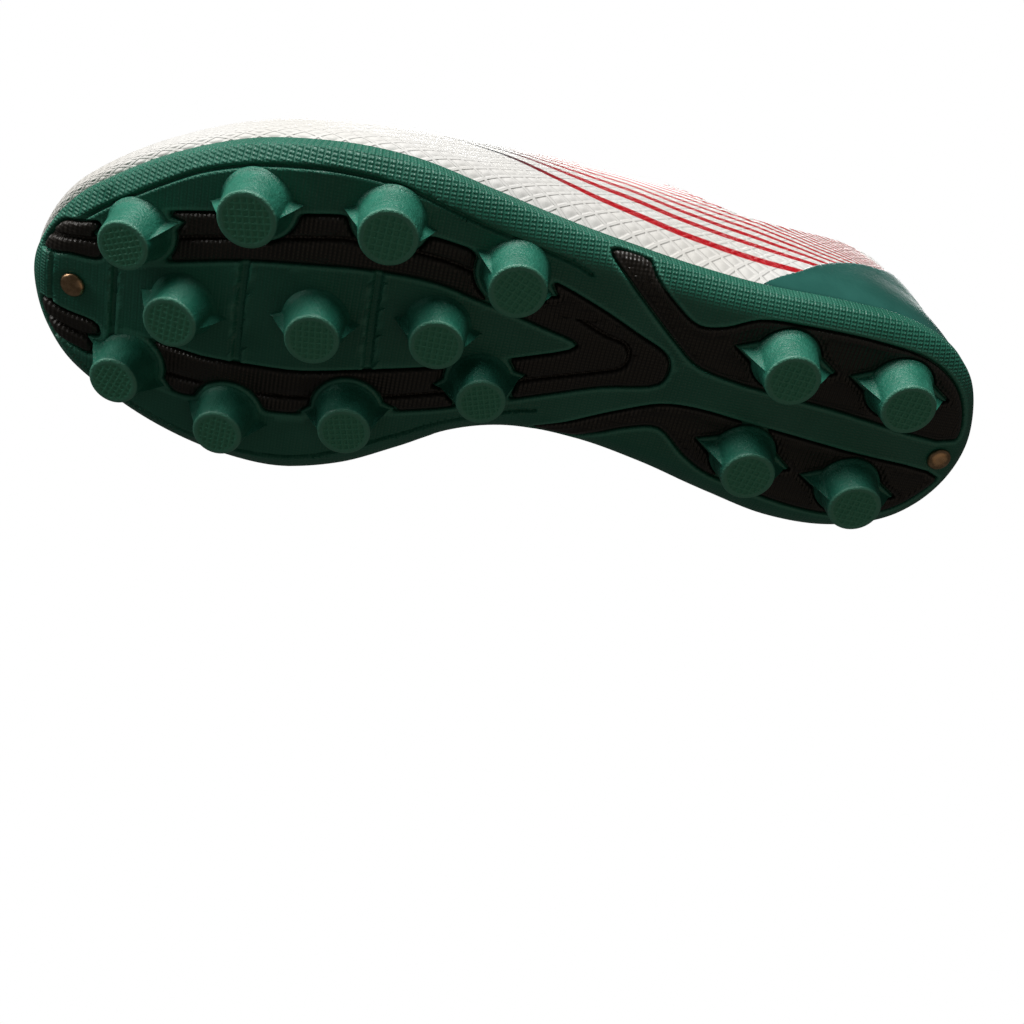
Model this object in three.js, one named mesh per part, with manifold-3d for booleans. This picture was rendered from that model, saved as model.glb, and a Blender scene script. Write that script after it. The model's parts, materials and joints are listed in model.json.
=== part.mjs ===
// Junior soccer cleat, left foot, standing on its studs.
// Millimetres, +Z up, toe towards -X, outer (lateral) side towards -Y.
// Inside this file lengths run from the toe tip, x = 0, to the heel, x = 240.
// The last group moves the origin under the middle of the shoe, on the ground.

import * as THREE from 'three';
import { mergeVertices } from 'three/addons/utils/BufferGeometryUtils.js';
import Module from 'manifold-3d';

const wasm = await Module();
wasm.setup();

// ---- Driving dimensions ----
const SOLE_LENGTH = 240;
const BOX_CENTRE = [121.67, -5.27];   // middle of the finished shoe, seen from above
const GAP = 0.3;                    // clearance between pieces that touch

const PLATE_THICKNESS = 3;          // sole plate between the studs
const RIM_HEIGHT = 8;               // upturned edge of the sole plate
const RIM_THICKNESS = 2.2;
const RIM_FOOT = 3.6;               // how far the plate's lower corner is rounded up
const RIM_ROUND = 6.5;              // width of that rounded corner
const POCKET_DEPTH = 1.4;           // recess that holds each dark insert

const BOARD_THICKNESS = 1.4;
const LINER_THICKNESS = 3.4;
const UPPER_THICKNESS = 1.4;
const STIFFENER_THICKNESS = 1.2;
const COLLAR_THICKNESS = 3.4;
const OVERLAY_THICKNESS = 1;
const TONGUE_THICKNESS = 4;

const STUD_HEIGHT = 10;
const FIN_TIP = 3.2;                // a stud's fin at the height of its tip, inside the stud
const FIN_FLATTENING = 0.6;         // a fin's width over its length
const NAIL_HEAD_RADIUS = 3.1;
const NAIL_SHANK_RADIUS = 1.1;
const NAIL_DOME = 1.2;              // height of a nail's domed head below the plate
const NAIL_SEAT = 0.15;             // depth of the head's edge below the plate
const NAIL_POINT = 0.4;             // length of the shank's point
const EYELET_RADIUS = 2;
const EYELETS_PER_SIDE = 5;
const EYELET_START = 97;
const EYELET_PITCH = 10.5;
const EYELET_CENTRE = 30;           // how far below the crest the bores would meet
const EYELET_ANGLE = 24;            // degrees out from the crest, at the first pair
const EYELET_FAN = 3.5;             // degrees that each further pair turns out
const LONGEST_EDGE = 14;            // an insert's longest straight stretch along the shoe

const BOARD_Z = PLATE_THICKNESS + GAP;
const LINER_Z = BOARD_Z + BOARD_THICKNESS + GAP;
const WALL_INSET = RIM_THICKNESS + 1.1;   // upper's wall, from the sole's outline

// Height of the sole's underside over the ground, along its length: toe spring,
// flat tread, raised waist, flat heel and a slight lift at the back.
const undersideHeight = stations([
  [-20, 31], [0, 21.3], [14, 18.1], [28, 15.3], [42, 12.8], [54, 11.2], [62, 10.3], [67, 10], [68, 10],
  [101, 10], [102, 10], [112, 10.5], [122, 10.95], [140, 11.6], [156, 11.2], [168, 10.3], [175, 10],
  [176, 10], [200, 10], [222, 10], [223, 10], [231, 10.2], [240, 11], [260, 13.5],
]);

// Outline of the sole at its rim, from the toe down the lateral side and back.
const OUTLINE = [
  [0, -2], [2, -9.5], [7, -19], [15, -27.5], [29, -37.5], [47, -46], [66, -50], [85, -50],
  [103, -46.5], [120, -42.5], [138, -39], [156, -36.5], [175, -35.5], [194, -35.5], [210, -34.5],
  [223, -30.5], [232, -23.5], [237.5, -13.5], [240, -2.5],
  [238.5, 8], [233.5, 17], [225, 24], [211, 28.5], [194, 28.5], [175, 24], [157, 19.5],
  [138, 16], [120, 15.5], [106, 19.5], [94, 27], [80, 35], [64, 39.5], [48, 39.5], [31, 36],
  [18, 30.5], [8.5, 23.5], [3, 14.5], [0.5, 6],
];
const HEEL_MIDDLE = 18.25;          // outline position of the heel's middle
const CORNERS = { toeLateral: 3, heelLateral: 16, heelMedial: 20, toeMedial: 35 };

// Crest of the instep over the ground, and its sideways place.
const crestHeight = stations([
  [0, 34], [28, 44.5], [45, 50], [65, 55.5], [86, 62.5], [105, 71], [125, 82], [145, 94],
  [160, 103], [175, 109], [195, 112], [225, 112], [240, 112],
]);
const crestSide = stations([[0, 0], [30, -2], [60, -6], [90, -9], [120, -11], [150, -9], [190, -4], [240, -2]]);
// How far the wall swells past its foot, and how square its section is.
const wallSwell = stations([[0, 3], [30, 4], [70, 4.5], [110, 5], [150, 3.5], [190, 3.5], [225, 5.5], [240, 6.5]]);
const wallSquareness = stations([[0, 2.1], [40, 2.2], [90, 2.3], [130, 2.3], [165, 2.4], [195, 2.3], [240, 2.2]]);
const CREST_TOE = 31;
const CREST_HEEL = 217;

// Studs: name, x, y, direction of the two fins in degrees, size.
// lobe is the ring of plate left round the stud where it stands in a pocket.
const SMALL = { tip: 6.1, base: 7.3, fin: 10.2, lobe: 1.6 };
const MEDIUM = { tip: 6.5, base: 7.6, fin: 10.6, lobe: 1.6 };
const LARGE = { tip: 6.9, base: 7.9, fin: 10.9, lobe: 1.6 };
const HEEL = { tip: 6.8, base: 7.9, fin: 12, lobe: 0.5 };
const STUDS = [
  ['stud_lateral_1', 24.5, -19.5, -25, SMALL],
  ['stud_lateral_2', 51.5, -34, -12, LARGE],
  ['stud_lateral_3', 82, -37, 3, LARGE],
  ['stud_lateral_4', 113, -29.5, 22, LARGE],
  ['stud_centre_1', 36.5, -3, 5, MEDIUM],
  ['stud_centre_2', 68.5, -7.5, -5, MEDIUM],
  ['stud_centre_3', 97.5, -12, 0, MEDIUM],
  ['stud_medial_1', 24, 17.5, 22, SMALL],
  ['stud_medial_2', 50, 24.5, 4, SMALL],
  ['stud_medial_3', 79.5, 16.5, -14, MEDIUM],
  ['stud_medial_4', 110.5, 1.5, -17, SMALL],
  ['stud_heel_lateral_front', 183.5, -20, 5, HEEL],
  ['stud_heel_lateral_rear', 214, -18, 4, HEEL],
  ['stud_heel_medial_front', 181.5, 9, 9, HEEL],
  ['stud_heel_medial_rear', 211.5, 13, 4, HEEL],
];
const NAILS = [['nail_toe', 10, 0], ['nail_heel', 232, 0]];

// Dark inserts as closed outlines. A stud that stands across one splits it in two.
const INSERTS = [
  [['insert_forefoot_lateral', 'insert_forefoot_medial'], [
    [17, -19], [28, -25], [43, -29.5], [60, -33.5], [74, -36], [90, -35], [104, -33], [122, -29],
    [134, -24.5], [146, -19], [155, -14.5], [156.5, -10.5], [155, -6], [141, -2], [127, 3],
    [104, 11], [88, 15.5], [72, 19.5], [56, 22], [43, 23], [31, 22], [17, 19],
    [19, 10], [42, 10], [54, 9], [67, 7.5], [82, 4], [101, -1], [118, -6.5], [132, -12.5],
    [122, -16], [107, -20], [95, -22.8], [80, -23], [66, -21.5], [50, -18.5], [29, -12], [19, -9],
  ]],
  [['insert_toe_lateral'], [[3.2, -7], [16, -9], [16, -18.5], [6.6, -15.5]]],
  [['insert_toe_medial'], [[3.2, 6], [16, 9.5], [16, 18.5], [6, 15.5]]],
  [['insert_heel_lateral'], [
    [134.5, -36], [140, -32.5], [148, -25], [156, -18], [162, -13.5], [170, -11.5], [200, -8.5],
    [234.5, -6], [234, -13], [228.5, -21.5], [219, -27.5], [205, -29.7], [188, -30.2],
    [174, -29.5], [166, -25.5], [160, -24.5], [153, -29], [146, -34.5], [143, -36.3],
  ]],
  [['insert_heel_medial'], [
    [128, 12.5], [137, 8.5], [148, 3], [157, -0.8], [166, -1.8], [180, -0.5], [207, 2.5],
    [234.5, 6], [231.5, 12], [225, 18.5], [214, 22.5], [200, 22.5], [184, 19.5], [173, 16.5],
    [166, 12.5], [158, 6.5], [151, 8], [142, 11.8], [136, 13.3],
  ]],
];

// Side-view and top-view limits of the upper's pieces.
const TOPLINE = [                   // upper edge of the shoe, from the instep to the heel tab
  [146, 92], [150, 84], [157, 74], [167, 66.5], [180, 63.5], [194, 65], [208, 71], [220, 79],
  [230, 85], [238, 88], [252, 89],
];
const THROAT = [                    // lacing slot seen from above
  [87, -10], [89.5, -13.5], [96, -15.5], [115, -18.5], [135, -22], [160, -27],
  [160, 8], [135, 1.5], [115, -3], [96, -5.5], [89.5, -7],
];
const HEEL_COUNTER = [              // side view of the glossy overlay round the heel
  [161, 10], [172, 27], [186, 39], [200, 49], [213, 58], [225, 66], [236, 72], [260, 74], [260, 10],
];
const STIFFENER = [[176, 10], [182, 34], [196, 45], [215, 52], [260, 56], [260, 10]];
const TOE_PUFF = [[-10, 10], [-10, 60], [26, 60], [26, 41], [36, 36], [41, 24], [42, 10]];
const COLLAR = [[150, 8], [141, 40], [139, 110], [262, 110], [262, 8]];
const TONGUE_TOP = [                // tongue seen from above
  [80, -10], [84, -18], [100, -21], [130, -25.5], [150, -27], [162, -24.5], [168, -18], [169.5, -9],
  [168, 0], [162, 6.5], [150, 9], [130, 5], [100, 0], [84, -2.5],
];
const SEAM = [                      // where the two halves of the upper meet, seen from above
  [-20, -2], [20, -3], [45, -5.5], [87, -9.5], [120, -11], [160, -8], [200, -4], [262, -2.5],
];

// ---- Colours ----
const GREEN = { color: 0x1c6b4c, roughness: 0.55, metalness: 0 };
const BLACK = { color: 0x1f1a16, roughness: 0.5, metalness: 0 };
const COPPER = { color: 0xa6704a, roughness: 0.3, metalness: 1 };
const WHITE = { color: 0xece9e4, roughness: 0.35, metalness: 0 };
const TEAL = { color: 0x0f4a44, roughness: 0.15, metalness: 0 };
const RED = { color: 0xb5202a, roughness: 0.9, metalness: 0 };
const GREY = { color: 0x8c8880, roughness: 0.9, metalness: 0 };
const DARK = { color: 0x2a2d28, roughness: 0.9, metalness: 0 };

// ---- Curves ----

// A smooth height curve through [x, value] stations.
function stations(list) {
  return (x) => {
    let k = 0;
    while (k < list.length - 2 && x > list[k + 1][0]) k += 1;
    const [x0, y0] = list[k];
    const [x1, y1] = list[k + 1];
    const before = list[Math.max(k - 1, 0)];
    const after = list[Math.min(k + 2, list.length - 1)];
    const slope0 = (y1 - before[1]) / (x1 - before[0]);
    const slope1 = (after[1] - y0) / (after[0] - x0);
    const span = x1 - x0;
    const t = THREE.MathUtils.clamp((x - x0) / span, 0, 1);
    const a = 2 * t ** 3 - 3 * t ** 2 + 1;
    const b = t ** 3 - 2 * t ** 2 + t;
    const c = -2 * t ** 3 + 3 * t ** 2;
    const d = t ** 3 - t ** 2;
    return a * y0 + b * span * slope0 + c * y1 + d * span * slope1;
  };
}

const outlineCurve = new THREE.CatmullRomCurve3(
  OUTLINE.map(([x, y]) => new THREE.Vector3(x, y, 0)), true, 'centripetal');

// Point on the sole's outline, moved inwards. Position counts outline points.
function outlinePoint(position, inset) {
  const t = ((position / OUTLINE.length) % 1 + 1) % 1;
  const point = outlineCurve.getPoint(t);
  const tangent = outlineCurve.getTangent(t);
  return [point.x - tangent.y * inset, point.y + tangent.x * inset];
}

function undersideSlope(x) {
  return (undersideHeight(x + 0.5) - undersideHeight(x - 0.5));
}

// Puts a point of the flat sole pattern, z above its underside, on the curved sole.
function onSole(x, y, z) {
  const slope = undersideSlope(x);
  const run = Math.hypot(1, slope);
  return [x - z * slope / run, y, undersideHeight(x) + z / run];
}

// Placement of a piece that stands on the sole's underside, square to it.
function seat(x, y, drop) {
  const turn = new THREE.Matrix4().makeRotationY(-Math.atan(undersideSlope(x)));
  return turn.setPosition(...onSole(x, y, -drop));
}

// ---- Meshes ----

function mapVertices(geometry, place) {
  const positions = geometry.getAttribute('position');
  for (let k = 0; k < positions.count; k += 1) {
    const point = place(positions.getX(k), positions.getY(k), positions.getZ(k));
    positions.setXYZ(k, point[0], point[1], point[2]);
  }
  return geometry;
}

function solid(geometry) {
  const plain = geometry.index ? geometry.toNonIndexed() : geometry.clone();
  plain.deleteAttribute('normal');
  plain.deleteAttribute('uv');
  const merged = mergeVertices(plain, 1e-4);
  const index = merged.getIndex().array;
  const triangles = [];
  for (let k = 0; k < index.length; k += 3) {
    const [a, b, c] = [index[k], index[k + 1], index[k + 2]];
    if (a !== b && b !== c && c !== a) triangles.push(a, b, c);
  }
  const body = new wasm.Manifold(new wasm.Mesh({
    numProp: 3,
    vertProperties: new Float32Array(merged.getAttribute('position').array),
    triVerts: new Uint32Array(triangles),
  }));
  return body;
}

function surface(body) {
  const mesh = body.getMesh();
  const geometry = new THREE.BufferGeometry();
  geometry.setAttribute('position', new THREE.BufferAttribute(new Float32Array(mesh.vertProperties), 3));
  geometry.setIndex(new THREE.BufferAttribute(new Uint32Array(mesh.triVerts), 1));
  return geometry;
}

// Splits every edge that runs too far along X, so that the piece can follow the sole's curve.
function refineAlongLength(geometry, longest) {
  let points = Array.from(geometry.getAttribute('position').array);
  let index = Array.from(geometry.getIndex().array);
  let split = true;
  while (split) {
    split = false;
    const middles = new Map();
    const middle = (a, b) => {
      if (Math.abs(points[3 * a] - points[3 * b]) <= longest) return -1;
      const key = a < b ? `${a}_${b}` : `${b}_${a}`;
      if (!middles.has(key)) {
        middles.set(key, points.length / 3);
        for (let axis = 0; axis < 3; axis += 1) {
          points.push((points[3 * a + axis] + points[3 * b + axis]) / 2);
        }
      }
      return middles.get(key);
    };
    const next = [];
    for (let k = 0; k < index.length; k += 3) {
      const [a, b, c] = [index[k], index[k + 1], index[k + 2]];
      const [ab, bc, ca] = [middle(a, b), middle(b, c), middle(c, a)];
      const cuts = [ab, bc, ca].filter((m) => m >= 0).length;
      if (cuts > 0) split = true;
      if (cuts === 0) next.push(a, b, c);
      else if (cuts === 3) next.push(a, ab, ca, ab, b, bc, ca, bc, c, ab, bc, ca);
      else if (ab >= 0 && bc >= 0) next.push(ab, b, bc, a, ab, bc, a, bc, c);
      else if (bc >= 0 && ca >= 0) next.push(bc, c, ca, b, bc, ca, b, ca, a);
      else if (ca >= 0 && ab >= 0) next.push(ca, a, ab, c, ca, ab, c, ab, b);
      else if (ab >= 0) next.push(a, ab, c, ab, b, c);
      else if (bc >= 0) next.push(b, bc, a, bc, c, a);
      else next.push(c, ca, b, ca, a, b);
    }
    index = next;
  }
  const refined = new THREE.BufferGeometry();
  refined.setAttribute('position', new THREE.BufferAttribute(new Float32Array(points), 3));
  refined.setIndex(index);
  return refined;
}

const flatShape = (points) => new THREE.Shape(points.map(([x, y]) => new THREE.Vector2(x, y)));

// Prism with the given outline, seen from above, between two heights.
function plan(points, low, high) {
  const depth = high - low;
  const geometry = new THREE.ExtrudeGeometry(flatShape(points), { depth, bevelEnabled: false });
  return solid(geometry.translate(0, 0, low));
}

// Prism with the given side-view outline, through the whole width.
function side(points) {
  const depth = 160;
  const geometry = new THREE.ExtrudeGeometry(flatShape(points), { depth, bevelEnabled: false });
  return solid(geometry.translate(0, 0, -depth / 2).rotateX(Math.PI / 2));
}

function cylinder(x, y, radius, low, high, sides = 20) {
  const geometry = new THREE.CylinderGeometry(radius, radius, high - low, sides);
  return solid(geometry.rotateX(Math.PI / 2).translate(x, y, (low + high) / 2));
}

function offsetLoop(points, inset) {
  const clockwise = THREE.ShapeUtils.isClockWise(points.map(([x, y]) => new THREE.Vector2(x, y))) ? -1 : 1;
  return points.map((point, k) => {
    const before = points[(k + points.length - 1) % points.length];
    const after = points[(k + 1) % points.length];
    const u = new THREE.Vector2(point[0] - before[0], point[1] - before[1]).normalize();
    const v = new THREE.Vector2(after[0] - point[0], after[1] - point[1]).normalize();
    const normal = new THREE.Vector2(-(u.y + v.y), u.x + v.x).normalize().multiplyScalar(clockwise);
    const reach = inset / Math.max(0.5, normal.dot(new THREE.Vector2(-u.y, u.x).multiplyScalar(clockwise)));
    return [point[0] + normal.x * reach, point[1] + normal.y * reach];
  });
}

// A slab that covers the sole's outline: nx by ny cells, whose outer rings follow the
// outline at the given insets. low and high give its faces at each ring or inside.
function slab(nx, ny, insets, low, high) {
  const rings = insets.length - 1;
  const place = (i, j) => {
    const ring = Math.min(i, j, nx - i, ny - j, rings);
    const inset = insets[ring];
    const u = (i - ring) / (nx - 2 * ring);
    const v = (j - ring) / (ny - 2 * ring);
    const at = (position) => outlinePoint(position, inset);
    const lateral = at(THREE.MathUtils.lerp(CORNERS.toeLateral, CORNERS.heelLateral, u));
    const medial = at(THREE.MathUtils.lerp(CORNERS.toeMedial, CORNERS.heelMedial, u));
    const toe = at(THREE.MathUtils.lerp(CORNERS.toeLateral + OUTLINE.length, CORNERS.toeMedial, v));
    const heel = at(THREE.MathUtils.lerp(CORNERS.heelLateral, CORNERS.heelMedial, v));
    const corner = [at(CORNERS.toeLateral), at(CORNERS.heelLateral), at(CORNERS.toeMedial), at(CORNERS.heelMedial)];
    const point = [0, 1].map((axis) => (1 - v) * lateral[axis] + v * medial[axis]
      + (1 - u) * toe[axis] + u * heel[axis]
      - (1 - u) * (1 - v) * corner[0][axis] - u * (1 - v) * corner[1][axis]
      - (1 - u) * v * corner[2][axis] - u * v * corner[3][axis]);
    return { point, ring };
  };
  const box = new THREE.BoxGeometry(nx, ny, 1, nx, ny, 1);
  return solid(mapVertices(box, (x, y, z) => {
    const { point, ring } = place(Math.round(x + nx / 2), Math.round(y + ny / 2));
    return onSole(point[0], point[1], z < 0 ? low(ring, point[0]) : high(ring, point[0]));
  }));
}

// The foot-shaped body inside the upper, a given depth in from the upper's face.
// Rows run from toe to heel; each row climbs the lateral wall to the crest and back down.
const ROWS = 28;
const CLIMB = 9;
function last(depth, floor) {
  const loop = 2 * CLIMB + 1;
  const tube = new THREE.CylinderGeometry(1, 1, ROWS, loop, ROWS, true);
  const column = (angle) => Math.round(angle / (2 * Math.PI) * loop + loop) % loop;
  const place = (row, step) => {
    const lateral = step <= CLIMB;
    const climb = lateral ? step : loop - 1 - step;
    const lateralPosition = row / ROWS * HEEL_MIDDLE;
    const medialPosition = row / ROWS * (HEEL_MIDDLE - OUTLINE.length);
    const position = lateral || row === ROWS ? lateralPosition : medialPosition;
    const foot = outlinePoint(position, WALL_INSET + depth);
    const edge = outlinePoint(position, 0);
    const out = [(edge[0] - foot[0]) / (WALL_INSET + depth), (edge[1] - foot[1]) / (WALL_INSET + depth)];
    if (climb === 0) return onSole(foot[0], foot[1], floor);
    const base = onSole(foot[0], foot[1], RIM_HEIGHT + GAP);
    const middle = (outlinePoint(lateralPosition, 0)[0] + outlinePoint(medialPosition, 0)[0]) / 2;
    const crestX = THREE.MathUtils.mapLinear(middle, 0, SOLE_LENGTH, CREST_TOE, CREST_HEEL);
    const crest = [crestX, crestSide(crestX), crestHeight(crestX) - depth];
    const v = (climb - 1) / (CLIMB - 1);
    const angle = v * Math.PI / 2;
    const power = 2 / wallSquareness(crestX);
    const across = Math.cos(angle) ** power;
    const up = Math.sin(angle) ** power;
    const swell = wallSwell(foot[0]) * Math.sin(Math.PI * v ** 0.6);
    const behind = (base[0] - crest[0]) * across;
    const fall = (crestHeight(crestX + 1) - crestHeight(crestX - 1)) / 2 * behind;
    return [
      crest[0] + behind + out[0] * swell,
      crest[1] + (base[1] - crest[1]) * across + out[1] * swell,
      base[2] + (crest[2] + fall - base[2]) * up,
    ];
  };
  return solid(mapVertices(tube, (x, y, z) => {
    const row = Math.round(ROWS / 2 - y);
    return place(row, column(Math.atan2(x, z)));
  }));
}

// A layer of the upper between two depths, open below.
const UNDERCUT = 9;                 // how far the inner form runs on below the layer's lower edge
const BEYOND_SIDE = 70;             // a reach past the shoe's sides, for cutting tools
const BEYOND_TOP = 140;             // a height above the shoe, for cutting tools
const BORE_LENGTH = 60;             // length of the tool that cuts an eyelet
const BORE_START = 4;               // its inner end, measured from the line the eyelets point from
const THROAT_LOW = 40;              // the throat's tool starts at this height
const TONGUE_LOW = 48;              // the tongue's sides end at this height, clear of the sock liner
function shell(outer, inner, floor = BOARD_Z) {
  return last(outer, floor).subtract(last(inner, floor - UNDERCUT));
}

// The part of a body on one side of the upper's seam: -1 lateral, +1 medial.
function halfOf(body, sign) {
  const edge = SEAM.map(([x, y]) => [x, y + sign * GAP / 2]);
  const far = [[SEAM.at(-1)[0], sign * BEYOND_SIDE], [SEAM[0][0], sign * BEYOND_SIDE]];
  return body.intersect(plan(edge.concat(far), -UNDERCUT, BEYOND_TOP));
}

// ---- Sole ----
const PLATE_INSETS = [0, RIM_THICKNESS, RIM_THICKNESS + 0.1, RIM_ROUND];
const plateLow = (ring) => RIM_FOOT * (1 - PLATE_INSETS[ring] / RIM_ROUND) ** 2;
const plateHigh = (ring) => (ring < 2 ? RIM_HEIGHT : PLATE_THICKNESS);

const studPlaces = STUDS.map(([, x, y, , size]) => [x, y, size.base + size.lobe]);

function insertBody(points, inset, low, high, margin) {
  let body = plan(offsetLoop(points, inset), low, high);
  for (const [x, y, radius] of studPlaces) {
    body = body.subtract(cylinder(x, y, radius + margin, low - 1, high + 1));
  }
  const bent = refineAlongLength(surface(body), LONGEST_EDGE);
  return solid(mapVertices(bent, onSole));
}

// The given number of separate pieces of a body, largest first.
function pieces(body, count) {
  return body.decompose().sort((a, b) => b.volume() - a.volume()).slice(0, count);
}

function soleParts() {
  let plate = slab(32, 10, PLATE_INSETS, plateLow, plateHigh);
  const parts = [];
  for (const [names, points] of INSERTS) {
    const pockets = pieces(insertBody(points, 0, -4, POCKET_DEPTH, 0), names.length);
    const inserts = pieces(insertBody(points, GAP, 0, POCKET_DEPTH - GAP, GAP), names.length);
    names.forEach((name, k) => {
      plate = plate.subtract(pockets[k]);
      parts.push([name, inserts[k], BLACK]);
    });
  }
  for (const [, x, y] of NAILS) {
    plate = plate.subtract(solid(nailBore().applyMatrix4(seat(x, y, 0))));
  }
  parts.unshift(['outsole_plate', plate, GREEN]);
  const boardInset = WALL_INSET + UPPER_THICKNESS + 2 * GAP;
  const board = slab(28, 6, [boardInset], () => BOARD_Z, () => BOARD_Z + BOARD_THICKNESS);
  parts.push(['lasting_board', board, GREY]);
  const linerInset = WALL_INSET + UPPER_THICKNESS + COLLAR_THICKNESS + 3 * GAP;
  const liner = slab(28, 6, [linerInset], () => LINER_Z, () => LINER_Z + LINER_THICKNESS);
  parts.push(['sock_liner', liner, DARK]);
  return parts;
}

function studBody(size) {
  const cone = new THREE.CylinderGeometry(size.base, size.tip, STUD_HEIGHT - GAP, 20);
  const fins = new THREE.CylinderGeometry(size.fin, FIN_TIP, STUD_HEIGHT - GAP, 4);
  return solid(cone).add(solid(fins.rotateY(Math.PI / 2).scale(1, 1, FIN_FLATTENING)));
}

function nailBore() {
  return new THREE.CylinderGeometry(NAIL_SHANK_RADIUS + GAP, NAIL_SHANK_RADIUS + GAP, 12, 12)
    .rotateX(Math.PI / 2);
}

function nailGeometry() {
  const head = NAIL_HEAD_RADIUS;
  const profile = [
    [0, -NAIL_DOME], [head * 0.5, -NAIL_DOME * 0.88], [head * 0.86, -NAIL_DOME * 0.54],
    [head, -NAIL_SEAT], [head, NAIL_SEAT - GAP],
    [NAIL_SHANK_RADIUS, NAIL_SEAT - GAP], [NAIL_SHANK_RADIUS, PLATE_THICKNESS - NAIL_POINT],
    [0, PLATE_THICKNESS],
  ];
  return new THREE.LatheGeometry(profile.map(([r, z]) => new THREE.Vector2(r, z)), 12)
    .rotateX(Math.PI / 2);
}

// ---- Upper ----
function throatTool() {
  const above = TOPLINE.concat([[252, BEYOND_TOP], [146, BEYOND_TOP]]);
  return plan(THROAT, THROAT_LOW, BEYOND_TOP).add(side(above));
}

// Eyelet bores point away from a line below the crest, at an angle that grows up the throat.
function eyeletTools() {
  const tools = [];
  for (let k = 0; k < EYELETS_PER_SIDE; k += 1) {
    const x = EYELET_START + k * EYELET_PITCH;
    const angle = THREE.MathUtils.degToRad(EYELET_ANGLE + EYELET_FAN * k);
    for (const sign of [-1, 1]) {
      const bore = new THREE.CylinderGeometry(EYELET_RADIUS, EYELET_RADIUS, BORE_LENGTH, 8);
      bore.rotateX(Math.PI / 2).translate(0, 0, BORE_START + BORE_LENGTH / 2).rotateX(-sign * angle);
      tools.push(solid(bore.translate(x, crestSide(x), crestHeight(x) - EYELET_CENTRE)));
    }
  }
  return tools;
}

function upperParts() {
  const mouth = throatTool();
  const eyelets = eyeletTools();
  const pierce = (body) => eyelets.reduce((rest, tool) => rest.subtract(tool), body);
  const parts = [];
  const upper = pierce(shell(0, UPPER_THICKNESS).subtract(mouth));
  parts.push(['upper_lateral', halfOf(upper, -1), WHITE], ['upper_medial', halfOf(upper, 1), WHITE]);
  const inner = UPPER_THICKNESS + GAP;
  const stiffened = inner + STIFFENER_THICKNESS;
  const stiffener = shell(inner, stiffened, LINER_Z).intersect(side(STIFFENER));
  parts.push(['heel_stiffener', stiffener, GREY]);
  const puff = shell(inner + 2 * GAP, stiffened + 2 * GAP, LINER_Z).intersect(side(TOE_PUFF));
  parts.push(['toe_puff', puff, GREY]);
  const pocket = shell(inner - 0.2, stiffened + GAP, 0).intersect(side(offsetLoop(STIFFENER, -GAP)));
  const collar = shell(inner, inner + COLLAR_THICKNESS, LINER_Z).intersect(side(COLLAR))
    .subtract(pocket).subtract(mouth);
  parts.push(['collar_lining', collar, RED]);
  const overlay = shell(-GAP - OVERLAY_THICKNESS, -GAP, RIM_HEIGHT + GAP).intersect(side(HEEL_COUNTER))
    .subtract(mouth);
  parts.push(['heel_counter', overlay, TEAL]);
  const tongueTop = inner + COLLAR_THICKNESS + GAP;
  const tongue = shell(tongueTop, tongueTop + TONGUE_THICKNESS).intersect(plan(TONGUE_TOP, TONGUE_LOW, BEYOND_TOP));
  parts.push(['tongue', tongue, WHITE]);
  return parts;
}

// ---- Assembly ----
const cleat = new THREE.Group();
const shoe = new THREE.Group();
shoe.position.set(-BOX_CENTRE[0], -BOX_CENTRE[1], 0);
cleat.add(shoe);

function addPart(name, geometry, look, parent = shoe) {
  const mesh = new THREE.Mesh(geometry, new THREE.MeshStandardMaterial(look));
  mesh.name = name;
  parent.add(mesh);
  return mesh;
}

for (const [name, body, look] of soleParts().concat(upperParts())) {
  addPart(name, surface(body), look);
}

function seatOnSole(mesh, x, y, drop) {
  mesh.applyMatrix4(seat(x, y, drop));
}

for (const [name, x, y, turn, size] of STUDS) {
  const body = surface(studBody(size));
  body.rotateX(-Math.PI / 2).rotateZ(THREE.MathUtils.degToRad(turn));
  seatOnSole(addPart(name, body, GREEN), x, y, (STUD_HEIGHT + GAP) / 2);
}

for (const [name, x, y] of NAILS) {
  seatOnSole(addPart(name, surface(solid(nailGeometry())), COPPER), x, y, 0);
}

export default cleat;
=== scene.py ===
"""Soccer cleat, left foot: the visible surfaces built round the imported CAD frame.

Lengths along the sole are in millimetres, as in the CAD source: x from the toe tip to the heel,
y towards the inner (medial) side, z up from the ground. place() turns them into the row frame.
"""

import json
import math

import bmesh
import bpy
import numpy as np
from mathutils import Matrix, Vector


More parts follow.
